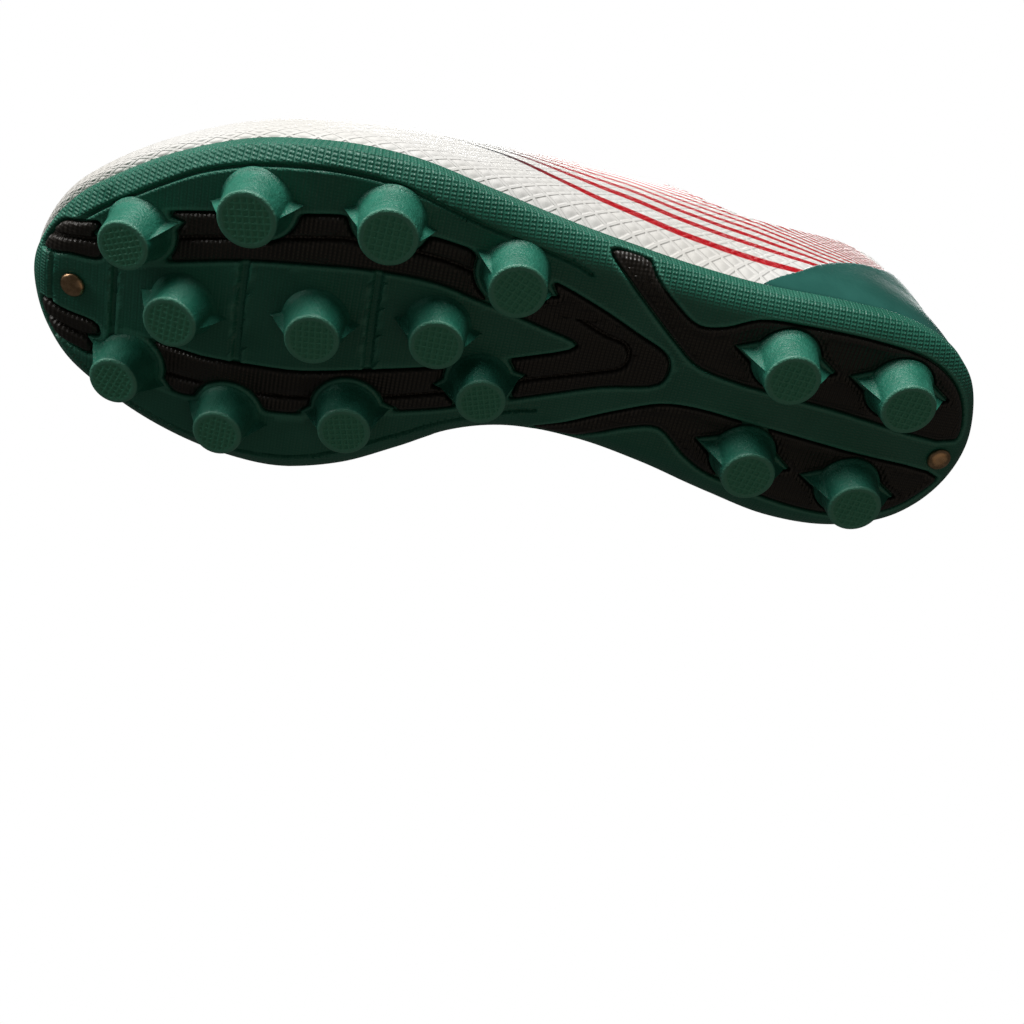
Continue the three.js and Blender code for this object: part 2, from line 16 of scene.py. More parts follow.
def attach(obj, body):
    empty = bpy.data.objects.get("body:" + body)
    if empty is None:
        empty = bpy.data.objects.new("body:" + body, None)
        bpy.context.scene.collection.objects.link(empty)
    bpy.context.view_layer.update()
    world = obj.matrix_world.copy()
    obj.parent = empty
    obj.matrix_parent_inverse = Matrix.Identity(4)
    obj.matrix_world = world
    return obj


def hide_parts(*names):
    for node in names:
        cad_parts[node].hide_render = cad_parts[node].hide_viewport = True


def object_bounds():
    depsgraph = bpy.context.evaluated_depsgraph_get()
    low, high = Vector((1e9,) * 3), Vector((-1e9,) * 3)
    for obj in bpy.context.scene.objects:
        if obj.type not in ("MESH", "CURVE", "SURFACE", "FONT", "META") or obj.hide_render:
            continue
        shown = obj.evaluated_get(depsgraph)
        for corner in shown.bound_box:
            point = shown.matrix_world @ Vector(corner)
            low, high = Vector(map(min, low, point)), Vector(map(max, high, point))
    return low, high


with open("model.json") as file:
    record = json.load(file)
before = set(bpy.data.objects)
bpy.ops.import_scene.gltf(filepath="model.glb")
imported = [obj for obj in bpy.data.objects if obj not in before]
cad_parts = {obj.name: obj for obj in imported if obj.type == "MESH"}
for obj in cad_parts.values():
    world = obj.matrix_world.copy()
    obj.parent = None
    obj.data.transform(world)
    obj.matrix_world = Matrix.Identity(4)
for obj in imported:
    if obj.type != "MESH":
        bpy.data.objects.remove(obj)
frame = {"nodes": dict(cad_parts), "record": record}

CAD_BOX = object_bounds()
RECORD = frame["record"]
MM = 0.001

# ---- Driving dimensions, the same as in the CAD source ----
SOLE_LENGTH = 240.0
HEEL_STUD_PLACE = (214.0, -18.0, 0.0)     # place of the record's mount heel_stud_end
GAP = 0.3
PLATE_THICKNESS = 3.0
RIM_HEIGHT = 8.0
RIM_FOOT = 3.6
RIM_ROUND = 6.5
LIP = 1.5                                 # thickness of the rim's rounded lip
POCKET_DEPTH = 1.4
BOARD_Z = PLATE_THICKNESS + GAP
BOARD_THICKNESS = 1.4
LINER_Z = BOARD_Z + BOARD_THICKNESS + GAP
LINER_THICKNESS = 3.4
UPPER_THICKNESS = 1.4
COLLAR_THICKNESS = 3.4
TONGUE_THICKNESS = 4.0
WALL_INSET = 3.3
STUD_HEIGHT = 10.0
NAIL_HEAD_RADIUS = 3.1
TOE_REACH = 3.0                           # the toe is drawn out by this much, as in the photograph,
TOE_FROM = 24.0                           # from this station forwards
EYELET_RADIUS = 2.0
EYELETS_PER_SIDE = 5
EYELET_START = 97.0
EYELET_PITCH = 10.5
EYELET_CENTRE = 30.0                      # the eyelets' axes meet this far below the crest
EYELET_ANGLE = 24.0                       # lean of the foremost pair, in degrees
EYELET_FAN = 3.5                          # and how much more each pair behind it leans

OUTLINE = np.array([
    (0, -2), (2, -9.5), (7, -19), (15, -27.5), (29, -37.5), (47, -46), (66, -50), (85, -50),
    (103, -46.5), (120, -42.5), (138, -39), (156, -36.5), (175, -35.5), (194, -35.5), (210, -34.5),
    (223, -30.5), (232, -23.5), (237.5, -13.5), (240, -2.5),
    (238.5, 8), (233.5, 17), (225, 24), (211, 28.5), (194, 28.5), (175, 24), (157, 19.5),
    (138, 16), (120, 15.5), (106, 19.5), (94, 27), (80, 35), (64, 39.5), (48, 39.5), (31, 36),
    (18, 30.5), (8.5, 23.5), (3, 14.5), (0.5, 6),
], float)
HEEL_MIDDLE = 18.25
TOE_LATERAL, HEEL_LATERAL, HEEL_MEDIAL, TOE_MEDIAL = 3, 16, 20, 35

# Studs: place x and y, direction of the fins in degrees, tip radius, base radius, length of the fins
# and the ring of plate round the stud.
STUDS = {
    "stud_lateral_1": (24.5, -19.5, -25, 6.1, 7.3, 10.2, 1.6),
    "stud_lateral_2": (51.5, -34, -12, 6.9, 7.9, 10.9, 1.6),
    "stud_lateral_3": (82, -37, 3, 6.9, 7.9, 10.9, 1.6),
    "stud_lateral_4": (113, -29.5, 22, 6.9, 7.9, 10.9, 1.6),
    "stud_centre_1": (36.5, -3, 5, 6.5, 7.6, 10.6, 1.6),
    "stud_centre_2": (68.5, -7.5, -5, 6.5, 7.6, 10.6, 1.6),
    "stud_centre_3": (97.5, -12, 0, 6.5, 7.6, 10.6, 1.6),
    "stud_medial_1": (24, 17.5, 22, 6.1, 7.3, 10.2, 1.6),
    "stud_medial_2": (50, 24.5, 4, 6.1, 7.3, 10.2, 1.6),
    "stud_medial_3": (79.5, 16.5, -14, 6.5, 7.6, 10.6, 1.6),
    "stud_medial_4": (110.5, 1.5, -17, 6.1, 7.3, 10.2, 1.6),
    "stud_heel_lateral_front": (183.5, -20, 5, 6.8, 7.9, 12, 0.5),
    "stud_heel_lateral_rear": (214, -18, 4, 6.8, 7.9, 12, 0.5),
    "stud_heel_medial_front": (181.5, 9, 9, 6.8, 7.9, 12, 0.5),
    "stud_heel_medial_rear": (211.5, 13, 4, 6.8, 7.9, 12, 0.5),
}
NAILS = {"nail_toe": (10, 0), "nail_heel": (232, 0)}

POCKETS = {
    "forefoot": [
        (17, -19), (28, -25), (43, -29.5), (60, -33.5), (74, -36), (90, -35), (104, -33), (122, -29),
        (134, -24.5), (146, -19), (155, -14.5), (156.5, -10.5), (155, -6), (141, -2), (127, 3),
        (104, 11), (88, 15.5), (72, 19.5), (56, 22), (43, 23), (31, 22), (17, 19),
        (19, 10), (42, 10), (54, 9), (67, 7.5), (82, 4), (101, -1), (118, -6.5), (132, -12.5),
        (122, -16), (107, -20), (95, -22.8), (80, -23), (66, -21.5), (50, -18.5), (29, -12), (19, -9),
    ],
    "toe_lateral": [(2.6, -7), (9, -8), (16, -9), (16, -18.5), (11, -17.5), (6.2, -15.5)],
    "toe_medial": [(2.6, 6), (9, 7.6), (16, 9.5), (16, 18.5), (11, 17.5), (5.6, 15.5)],
    "heel_lateral": [
        (134.5, -38.5), (140, -32.5), (148, -25), (156, -18), (162, -13.5), (170, -11.5), (200, -8.5),
        (234.5, -6), (234, -13), (228.5, -21.5), (219, -27.5), (205, -29.7), (188, -30.2),
        (174, -29.5), (166, -25.5), (160, -24.5), (153, -29), (147, -34.5), (144.5, -37.8),
    ],
    "heel_medial": [
        (126.5, 14), (137, 8.5), (148, 3), (157, -0.8), (166, -1.8), (180, -0.5), (207, 2.5),
        (234.5, 6), (231.5, 12), (225, 18.5), (214, 22.5), (200, 22.5), (184, 19.5), (173, 16.5),
        (166, 12.5), (158, 6.5), (151, 8), (142, 12.3), (137, 15),
    ],
}
# Grooves that part the dark inserts into strips.
STRIP_GROOVES = [
    [(15, -13.8), (28, -18), (40, -22), (63, -28), (74, -30), (95, -29.5), (108, -26.5), (125, -22.5),
     (138, -17), (144, -15.2), (145.6, -12), (144.5, -8.8), (138, -6), (124, -1.5), (102, 6.5),
     (87, 11), (68, 15), (53, 17), (33, 17.5), (15, 15.5)],
    [(2, -11), (8, -12.4), (17, -14)],
    [(2, 10.5), (8, 12), (17, 14.5)],
]
# Grooves in the green plate: the stitched slit round the forefoot, and the seams of the panels.
SLITS = [
    [(9, -15.5), (16, -22.5), (23, -28), (30, -33), (38, -38), (49, -42.5), (60, -45), (69, -46),
     (83, -45.4), (93, -42.8), (103, -40), (113, -37.5), (127, -34), (131, -32.2)],
    [(7, 16), (12, 21.5), (19, 26.5), (33, 32), (43, 34), (54, 35), (69, 33), (77, 30), (86, 25),
     (95, 20), (103, 15.5), (111, 12.4), (121, 8.5), (126, 7.5)],
]
TOE_GROOVE = [(5.6, -12.5), (5.2, -5), (5.2, 6), (6, 16)]
PANEL_GROOVES = [
    [(19.3, -14), (19.3, 14)],
    [(50.3, -20), (50, -5), (50.6, 12)],
    [(81.5, -25), (81.8, -10), (82.8, 6)],
]

CREST_TOE, CREST_HEEL = 31.0, 217.0

TOPLINE = [(130, 140), (146, 92), (150, 84), (157, 74), (167, 66.5), (180, 62.5), (194, 62.5), (208, 66.5),
           (220, 73), (230, 80), (238, 84), (262, 86), (262, 140)]
THROAT = [(87, -10), (89.5, -13.5), (96, -15.5), (115, -18.5), (135, -22), (172, -28),
          (172, 10), (135, 1.5), (115, -3), (96, -5.5), (89.5, -7)]
TONGUE_TOP = [(80, -10), (84, -18), (100, -21), (130, -25.5), (150, -27), (162, -24.5), (168, -18),
              (169.5, -9), (168, 0), (162, 6.5), (150, 9), (130, 5), (100, 0), (84, -2.5)]


# ---- Curves ----
def stations(table):
    """A smooth curve through (x, value) stations, as a function of an array of x."""
    xs, ys = np.array(table, float).T
    k = np.arange(len(xs))
    before, after = np.maximum(k - 1, 0), np.minimum(k + 1, len(xs) - 1)
    slopes = (ys[after] - ys[before]) / (xs[after] - xs[before])

    def curve(x):
        x = np.asarray(x, float)
        k = np.searchsorted(xs[1:-1], x, side="left")
        span = xs[k + 1] - xs[k]
        t = np.clip((x - xs[k]) / span, 0, 1)
        a = 2 * t**3 - 3 * t**2 + 1
        b = t**3 - 2 * t**2 + t
        c = -2 * t**3 + 3 * t**2
        d = t**3 - t**2
        return a * ys[k] + b * span * slopes[k] + c * ys[k + 1] + d * span * slopes[k + 1]

    return curve


# Height and side of the crest, swell and squareness of the walls, and height of the sole's underside.
crest_height = stations((
    (0, 34), (28, 44.5), (45, 50), (65, 55.5), (86, 62.5), (105, 71), (125, 82), (145, 94), (160, 103),
    (175, 109), (195, 112), (225, 112), (240, 112)))
crest_side = stations((
    (0, 0), (30, -2), (60, -6), (90, -9), (120, -11), (150, -9), (190, -4), (240, -2)))
wall_swell = stations((
    (0, 7), (15, 7), (30, 6), (50, 5), (70, 4.6), (90, 5), (117, 7.3), (135, 7), (155, 5.5), (175, 3.3),
    (200, 2), (225, 0.3), (240, 3.2)))
wall_squareness = stations((
    (0, 2.1), (40, 2.2), (90, 2.3), (130, 2.3), (165, 2.4), (195, 2.3), (240, 2.2)))
underside = stations((
    (-20, 31), (0, 21.3), (14, 18.1), (28, 15.3), (42, 12.8), (54, 11.2), (62, 10.3), (67, 10), (68, 10),
    (101, 10), (102, 10), (112, 10.5), (122, 10.95), (140, 11.6), (156, 11.2), (168, 10.3), (175, 10),
    (176, 10), (200, 10), (222, 10), (223, 10), (231, 10.2), (240, 11), (260, 13.5)))


def round_curve(points, t):
    """Point and direction on a closed centripetal curve. t counts its points."""
    n = len(points)
    t = np.asarray(t, float)
    k = np.floor(t).astype(int)
    w = (t - k)[..., None]
    p0, p1, p2, p3 = (points[(k + i) % n] for i in (-1, 0, 1, 2))
    d0, d1, d2 = (np.sqrt(np.linalg.norm(b - a, axis=-1))[..., None]
                  for a, b in ((p0, p1), (p1, p2), (p2, p3)))
    m1 = ((p1 - p0) / d0 - (p2 - p0) / (d0 + d1) + (p2 - p1) / d1) * d1
    m2 = ((p2 - p1) / d1 - (p3 - p1) / (d1 + d2) + (p3 - p2) / d2) * d1
    c2 = -3 * p1 + 3 * p2 - 2 * m1 - m2
    c3 = 2 * p1 - 2 * p2 + m1 + m2
    point = p1 + m1 * w + c2 * w**2 + c3 * w**3
    along = m1 + 2 * c2 * w + 3 * c3 * w**2
    return point, along / np.linalg.norm(along, axis=-1, keepdims=True)


def rounded(points, steps=4, closed=True):
    """The points of a smooth curve through an outline or a line."""
    points = np.array(points, float)
    if closed:
        return round_curve(points, np.arange(len(points) * steps) / steps)[0]
    ends = np.vstack([points, 2 * points[-1] - points[-2], 2 * points[0] - points[1]])
    count = (len(points) - 1) * steps
    return round_curve(ends, np.arange(count + 1) / steps)[0]


def outline_point(position, inset):
    point, along = round_curve(OUTLINE, position)
    inset = np.asarray(inset, float)[..., None]
    return point + np.stack([-along[..., 1], along[..., 0]], -1) * inset


def on_sole(x, y, z):
    """Puts a point of the flat sole pattern, z above its underside, on the curved sole."""
    slope = underside(x + 0.5) - underside(x - 0.5)
    run = np.hypot(1, slope)
    stretched = x - TOE_REACH * np.clip(1 - x / TOE_FROM, 0, 1) ** 2
    return np.stack([stretched - z * slope / run, y + 0 * x, underside(x) + z / run], -1)


MOUNT = next(m for m in RECORD["mounts"] if m["name"] == "heel_stud_end")
ORIGIN = np.array(HEEL_STUD_PLACE) - np.array(MOUNT["pos_m"]) / MM


def place(points):
    """Points of the sole's own millimetres, in the row frame in metres."""
    return (np.asarray(points, float) - ORIGIN) * MM


# ---- Distance maps of the sole's pattern ----
STEP = 0.2
MAP_X = np.arange(-6, 246, STEP)
MAP_Y = np.arange(-56, 46, STEP)
FAR = 8.0


def distance_map(lines, closed=False):
    """Distance from every map point to the nearest line, up to FAR."""
    field = np.full((len(MAP_X), len(MAP_Y)), FAR)
    for line in lines:
        line = np.asarray(line, float)
        ends = np.roll(line, -1, 0) if closed else line[1:]
        for a, b in zip(line[: len(ends)], ends):
            low, high = np.minimum(a, b) - FAR, np.maximum(a, b) + FAR
            i = slice(*np.searchsorted(MAP_X, (low[0], high[0])))
            j = slice(*np.searchsorted(MAP_Y, (low[1], high[1])))
            x, y = MAP_X[i, None] - a[0], MAP_Y[None, j] - a[1]
            d = b - a
            t = np.clip((x * d[0] + y * d[1]) / max(d @ d, 1e-9), 0, 1)
            field[i, j] = np.minimum(field[i, j], np.hypot(x - t * d[0], y - t * d[1]))
    return field


def depth_map(loop):
    """Distance to a closed outline: above zero inside it, below zero outside."""
    inside = np.zeros((len(MAP_X), len(MAP_Y)), bool)
    for a, b in zip(loop, np.roll(loop, -1, 0)):
        if a[0] == b[0]:
            continue
        low, high = sorted((a[0], b[0]))
        i = slice(*np.searchsorted(MAP_X, (low, high)))
        cut = a[1] + (MAP_X[i] - a[0]) * (b[1] - a[1]) / (b[0] - a[0])
        inside[i] ^= MAP_Y[None, :] > cut[:, None]
    return distance_map([loop], closed=True) * np.where(inside, 1, -1)


def sample(field, plan):
    """A map's value at points (x, y)."""
    u = np.clip((plan[:, 0] - MAP_X[0]) / STEP, 0, len(MAP_X) - 1.001)
    v = np.clip((plan[:, 1] - MAP_Y[0]) / STEP, 0, len(MAP_Y) - 1.001)
    i, j = u.astype(int), v.astype(int)
    u, v = u - i, v - j
    return ((field[i, j] * (1 - v) + field[i, j + 1] * v) * (1 - u)
            + (field[i + 1, j] * (1 - v) + field[i + 1, j + 1] * v) * u)


def soft_min(a, b, width):
    h = np.clip(0.5 + 0.5 * (b - a) / width, 0, 1)
    return b * (1 - h) + a * h - width * h * (1 - h)


def smooth(t):
    t = np.clip(t, 0, 1)
    return t * t * (3 - 2 * t)


def fin_outline(x, y, turn, reach, width):
    """The four corners of a stud's foot: two fins and the stud between them."""
    along = np.array([math.cos(math.radians(turn)), math.sin(math.radians(turn))])
    across = np.array([-along[1], along[0]])
    centre = np.array([x, y], float)
    return np.array([centre + along * reach, centre + across * width,
                     centre - along * reach, centre - across * width])


def pocket_map():
    """Depth inside the pockets of the dark inserts, with the studs' feet left out."""
    field = np.full((len(MAP_X), len(MAP_Y)), -FAR)
    for outline in POCKETS.values():
        field = np.maximum(field, depth_map(rounded(outline)))
    xs, ys = np.meshgrid(MAP_X, MAP_Y, indexing="ij")
    for x, y, turn, _, base, fin, ring in STUDS.values():
        foot = base + ring - np.hypot(xs - x, ys - y)
        fins = depth_map(fin_outline(x, y, turn, fin + 1.2, base * 0.95))
        field = soft_min(field, -np.maximum(foot, fins), 1.6)
    return field


POCKET_MAP = pocket_map()
STRIP_MAP = distance_map([rounded(g, closed=False) for g in STRIP_GROOVES])
SLIT_MAP = distance_map([rounded(g, closed=False) for g in SLITS])
TOE_MAP = distance_map([rounded(TOE_GROOVE, closed=False)])
PANEL_MAP = distance_map(PANEL_GROOVES)


# ---- Meshes ----
def grid_faces(rows, columns, wrap=False):
    """Quads of a grid of rows by columns points. wrap joins the last column to the first."""
    i = np.arange(rows - 1)[:, None] * columns
    j = np.arange(columns if wrap else columns - 1)[None, :]
    k = (j + 1) % columns
    return np.stack([i + j, i + k, i + columns + k, i + columns + j], -1).reshape(-1, 4)


def triangles(quads):
    return np.vstack([quads[:, [0, 1, 2]], quads[:, [0, 2, 3]]])


def edges_of(tris):
    """Each triangle's edges as numbers, with the list of distinct edges."""
    pairs = np.sort(np.stack([tris, np.roll(tris, -1, 1)], -1), -1).astype(np.int64)
    keys = pairs[..., 0] * (tris.max() + 1) + pairs[..., 1]
    distinct, numbers = np.unique(keys, return_inverse=True)
    first = np.stack([distinct // (tris.max() + 1), distinct % (tris.max() + 1)], -1)
    return first, numbers.reshape(tris.shape)


def refine(points, tris, wanted, passes=4):
    """Splits edges in the middle where wanted(middle rows, length) says so. Rows keep their columns."""
    for _ in range(passes):
        ends, numbers = edges_of(tris)
        a, b = points[ends[:, 0]], points[ends[:, 1]]
        middle = (a + b) / 2
        split = wanted(middle, np.hypot(*(b - a)[:, :2].T))
        if not split.any():
            break
        new = np.full(len(ends), -1)
        new[split] = len(points) + np.arange(split.sum())
        points = np.vstack([points, middle[split]])
        cut = new[numbers]
        count = (cut >= 0).sum(1)
        parts = [tris[count == 0]]
        t, m = tris[count == 3], cut[count == 3]
        for corners in ((t[:, 0], m[:, 0], m[:, 2]), (m[:, 0], t[:, 1], m[:, 1]),
                        (m[:, 2], m[:, 1], t[:, 2]), (m[:, 0], m[:, 1], m[:, 2])):
            parts.append(np.stack(corners, -1))
        for turn in range(3):
            t, m = np.roll(tris, -turn, 1), np.roll(cut, -turn, 1)
            one = (count == 1) & (m[:, 0] >= 0)
            parts.append(np.stack([t[one, 0], m[one, 0], t[one, 2]], -1))
            parts.append(np.stack([m[one, 0], t[one, 1], t[one, 2]], -1))
            two = (count == 2) & (m[:, 2] < 0)
            parts.append(np.stack([m[two, 0], t[two, 1], m[two, 1]], -1))
            parts.append(np.stack([t[two, 0], m[two, 0], m[two, 1]], -1))
            parts.append(np.stack([t[two, 0], m[two, 1], t[two, 2]], -1))
        tris = np.vstack(parts)
    return points, tris


def split_where(points, tris, value):
    """Cuts triangles along value = 0. Returns the points, the triangles above and below zero, and
    the cut's edges, each in the direction in which the upper side's triangles run."""
    value = np.where(np.abs(value) < 1e-6, 1e-6, value)
    ends, numbers = edges_of(tris)
    va, vb = value[ends[:, 0]], value[ends[:, 1]]
    crossed = (va > 0) != (vb > 0)
    share = (va[crossed] / (va[crossed] - vb[crossed]))[:, None]
    new = np.full(len(ends), -1)
    new[crossed] = len(points) + np.arange(crossed.sum())
    points = np.vstack([points, points[ends[crossed, 0]] * (1 - share) + points[ends[crossed, 1]] * share])
    above = value[tris] > 0
    count = above.sum(1)
    up, down, seam = [tris[count == 3]], [tris[count == 0]], []
    cut = new[numbers]
    for turn in range(3):
        t, m, side = (np.roll(a, -turn, 1) for a in (tris, cut, above))
        for alone, ours, theirs in ((1, up, down), (2, down, up)):
            pick = (count == alone) & (side[:, 0] == (alone == 1))
            a, b, c = t[pick].T
            ab, ca = m[pick, 0], m[pick, 2]
            ours.append(np.stack([a, ab, ca], -1))
            theirs.append(np.stack([ab, b, c], -1))
            theirs.append(np.stack([ab, c, ca], -1))
            seam.append(np.stack([ab, ca] if alone == 1 else [ca, ab], -1))
    return points, np.vstack(up), np.vstack(down), np.vstack(seam)


def border(tris):
    """Edges that only one triangle has, in its direction."""
    pairs = np.vstack([tris[:, [0, 1]], tris[:, [1, 2]], tris[:, [2, 0]]]).astype(np.int64)
    size = tris.max() + 1
    keys = pairs[:, 0] * size + pairs[:, 1]
    return pairs[~np.isin(keys, pairs[:, 1] * size + pairs[:, 0])]


def compact(points, faces):
    used, numbers = np.unique(faces, return_inverse=True)
    return points[used], numbers.reshape(faces.shape), used


def add_object(name, data):
    made = bpy.data.objects.new(name, data)
    bpy.context.scene.collection.objects.link(made)
    return made


def closed_sheet(faces, edges, count):
    """Faces of a sheet whose back has the same points as its face, count numbers on."""
    sides = np.stack([edges[:, 1], edges[:, 0], edges[:, 0] + count, edges[:, 1] + count], -1)
    return [faces, faces[:, ::-1] + count, sides]


def piece(name, points, faces, material, smooth_angle, attributes=None):
    """A mesh object from points in the sole's millimetres and lists of faces."""
    lists = faces if isinstance(faces, list) else [faces]
    mesh = bpy.data.meshes.new(name)
    mesh.from_pydata(place(points).tolist(), [], [f for part in lists for f in part.tolist()])
    for key, values in (attributes or {}).items():
        kind = "FLOAT" if values.ndim == 1 else "FLOAT_VECTOR"
        layer = mesh.attributes.new(key, kind, "POINT")
        layer.data.foreach_set("value" if kind == "FLOAT" else "vector", values.astype(np.float32).ravel())
    mesh.validate()
    mesh.polygons.foreach_set("use_smooth", [True] * len(mesh.polygons))
    mesh.set_sharp_from_angle(angle=math.radians(smooth_angle))
    mesh.materials.append(material)
    return add_object(name, mesh)


def face_outwards(made):
    mesh = bmesh.new()
    mesh.from_mesh(made.data)
    bmesh.ops.recalc_face_normals(mesh, faces=mesh.faces)
    mesh.to_mesh(made.data)
    mesh.free()


def finish_piece(made, body, slot, *nodes):
    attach(made, body)
    if nodes:
        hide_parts(*nodes)
    return made


# ---- Materials ----
class Look:
    """A material with a Principled shader, and short calls for its pattern nodes."""

    def __init__(self, name, color, roughness, **values):
        self.material = bpy.data.materials.new(name)
        self.material.use_nodes = True
        self.nodes = self.material.node_tree.nodes
        self.links = self.material.node_tree.links
        self.shader = self.nodes["Principled BSDF"]
        self.shader.inputs["Base Color"].default_value = (*color, 1)
        self.shader.inputs["Roughness"].default_value = roughness
        for key, value in values.items():
            self.shader.inputs[key.replace("_", " ")].default_value = value

    def node(self, kind, **settings):
        made = self.nodes.new(kind)
        for key, value in settings.items():
            if key in made.inputs:
                made.inputs[key].default_value = value
            else:
                setattr(made, key, value)
        return made

    def coordinates(self, attribute=None):
        """Millimetre coordinates: the row frame's, or an attribute of the mesh."""
        if attribute:
            return self.node("ShaderNodeAttribute", attribute_name=attribute).outputs["Vector"]
        scaled = self.node("ShaderNodeVectorMath", operation="SCALE")
        scaled.inputs["Scale"].default_value = 1 / MM
        self.links.new(self.node("ShaderNodeTexCoord").outputs["Object"], scaled.inputs[0])
        return scaled.outputs[0]

    def value(self, attribute):
        return self.node("ShaderNodeAttribute", attribute_name=attribute).outputs["Fac"]

    def math(self, operation, a, b=0.0, clamp=False):
        made = self.node("ShaderNodeMath", operation=operation, use_clamp=clamp)
        for socket, item in zip(made.inputs, (a, b)):
            if isinstance(item, (int, float)):
                socket.default_value = item
            else:
                self.links.new(item, socket)
        return made.outputs[0]

    def noise(self, vector, scale, detail=3.0, roughness=0.5):
        made = self.node("ShaderNodeTexNoise", Scale=scale, Detail=detail, Roughness=roughness)
        self.links.new(vector, made.inputs["Vector"])
        return made.outputs["Fac"]

    def waves(self, vector, pitch, direction="X", distortion=0.0):
        made = self.node("ShaderNodeTexWave", bands_direction=direction)
        made.inputs["Scale"].default_value = math.pi / 10 / pitch
        made.inputs["Distortion"].default_value = distortion
        self.links.new(vector, made.inputs["Vector"])
        return made.outputs["Fac"]

    def ramp(self, factor, low, high, start=0.0, end=1.0):
        """A number between low and high as factor goes from start to end."""
        made = self.node("ShaderNodeMapRange", interpolation_type="SMOOTHSTEP")
        self.links.new(factor, made.inputs["Value"])
        for key, item in (("From Min", start), ("From Max", end), ("To Min", low), ("To Max", high)):
            made.inputs[key].default_value = item
        return made.outputs["Result"]

    def mix(self, factor, a, b):
        made = self.node("ShaderNodeMix", data_type="RGBA")
        self.links.new(factor, made.inputs[0])
        for socket, item in ((made.inputs[6], a), (made.inputs[7], b)):
            if isinstance(item, tuple):
                socket.default_value = (*item, 1)
            else:
                self.links.new(item, socket)
        return made.outputs[2]

    def color(self, output):
        self.links.new(output, self.shader.inputs["Base Color"])

    def roughness(self, output):
        self.links.new(output, self.shader.inputs["Roughness"])

    def bump(self, height, depth, strength=1.0):
        """Bump of the given depth in millimetres, on top of any earlier one."""
        made = self.node("ShaderNodeBump", Strength=strength, Distance=depth * MM)
        self.links.new(height, made.inputs["Height"])
        socket = self.shader.inputs["Normal"]
        if socket.links:
            self.links.new(socket.links[0].from_socket, made.inputs["Normal"])
        self.links.new(made.outputs["Normal"], socket)


WEAVE_PITCH = 0.82
RIB_PITCH = 1.05


def weave(look, vector, pitch):
    """A basket weave: threads that pass over and under each other."""
    across = look.waves(vector, pitch, "X", 0.15)
    along = look.waves(vector, pitch, "Y", 0.15)
    wide = look.waves(vector, pitch * 2, "X")
    over = look.math("GREATER_THAN", wide, 0.5)
    first = look.math("MULTIPLY", across, over)
    second = look.math("MULTIPLY", along, look.math("SUBTRACT", 1.0, over))
    both = look.math("MULTIPLY", across, along)
    return look.math("ADD", look.math("ADD", first, second), both)


def sole_green():
    look = Look("sole_green", (0.020, 0.165, 0.108), 0.45, Specular_IOR_Level=0.4)
    pattern = look.coordinates("pattern")
    cloth = weave(look, pattern, WEAVE_PITCH)
    rim = look.value("rim")
    cloudy = look.noise(pattern, 0.06, 4)
    fine = look.noise(pattern, 1.6, 3)
    tint = look.mix(look.ramp(cloudy, 0.0, 1.0, 0.3, 0.7), (0.014, 0.140, 0.090), (0.024, 0.172, 0.115))
    # Painted highlight: lighter green along the rounded edges of the pockets and the panels' seams, where
    # the edge attribute is high.
    bevel_highlight = look.mix(look.ramp(look.value("edge"), 0.0, 0.85), tint, (0.06, 0.27, 0.19))
    look.color(look.mix(look.ramp(cloth, 0.0, 0.22, 0.9, 1.9), bevel_highlight, (0.07, 0.30, 0.22)))
    look.roughness(look.ramp(fine, 0.34, 0.55, 0.3, 0.7))
    strength = look.ramp(rim, 0.35, 1.0)
    look.bump(look.math("MULTIPLY", cloth, strength), 0.10)
    look.bump(fine, 0.05)
    return look.material


def stud_green():
    look = Look("stud_green", (0.028, 0.215, 0.145), 0.40, Specular_IOR_Level=0.45)
    spot = look.coordinates()
    grit = look.noise(spot, 1.25, 4, 0.6)
    cloudy = look.noise(spot, 0.25, 2)
    tint = look.mix(look.ramp(cloudy, 0.0, 1.0, 0.35, 0.65), (0.020, 0.170, 0.113), (0.030, 0.208, 0.142))
    tint = look.mix(look.ramp(look.value("face"), 0.0, 0.8), tint, (0.075, 0.36, 0.22))
    # Painted highlight: lighter green along the rounded rim of the stud's end, where the edge attribute is
    # high.
    look.color(look.mix(look.ramp(look.value("edge"), 0.0, 0.6), tint, (0.10, 0.32, 0.24)))
    look.roughness(look.ramp(grit, 0.28, 0.5, 0.3, 0.7))
    look.bump(grit, 0.34)
    return look.material


def insert_black():
    look = Look("insert_black", (0.012, 0.010, 0.008), 0.42, Specular_IOR_Level=0.42)
    pattern = look.coordinates("pattern")
    ribs = look.waves(pattern, RIB_PITCH, "X", 0.25)
    threads = look.waves(pattern, RIB_PITCH * 0.8, "Y", 0.2)
    fine = look.noise(pattern, 1.2, 3)
    tint = look.mix(look.ramp(fine, 0.0, 1.0, 0.3, 0.7), (0.009, 0.0075, 0.006), (0.017, 0.013, 0.009))
    # Painted highlight: lighter black just inside the rounded edges of the strips and the heel inserts,
    # where the edge attribute is high.
    look.color(look.mix(look.ramp(look.value("edge"), 0.0, 0.7), tint, (0.035, 0.031, 0.028)))
    look.roughness(look.ramp(fine, 0.34, 0.5, 0.3, 0.7))
    look.bump(look.math("ADD", ribs, look.math("MULTIPLY", threads, 0.35)), 0.13)
    return look.material


def nail_copper():
    look = Look("nail_copper", (0.50, 0.32, 0.17), 0.24, Metallic=1.0)
    spot = look.coordinates()
    wear = look.noise(spot, 0.5, 3, 0.5)
    look.color(look.mix(look.ramp(wear, 0.0, 1.0, 0.35, 0.65), (0.34, 0.215, 0.115), (0.52, 0.34, 0.20)))
    look.roughness(look.ramp(wear, 0.18, 0.42, 0.3, 0.7))
    look.bump(wear, 0.03)
    return look.material


def board_fibre():
    look = Look("board_fibre", (0.36, 0.31, 0.23), 0.85)
    fibres = look.noise(look.coordinates(), 0.8, 6, 0.7)
    look.color(look.mix(fibres, (0.30, 0.25, 0.18), (0.46, 0.41, 0.32)))
    look.bump(fibres, 0.15)
    return look.material


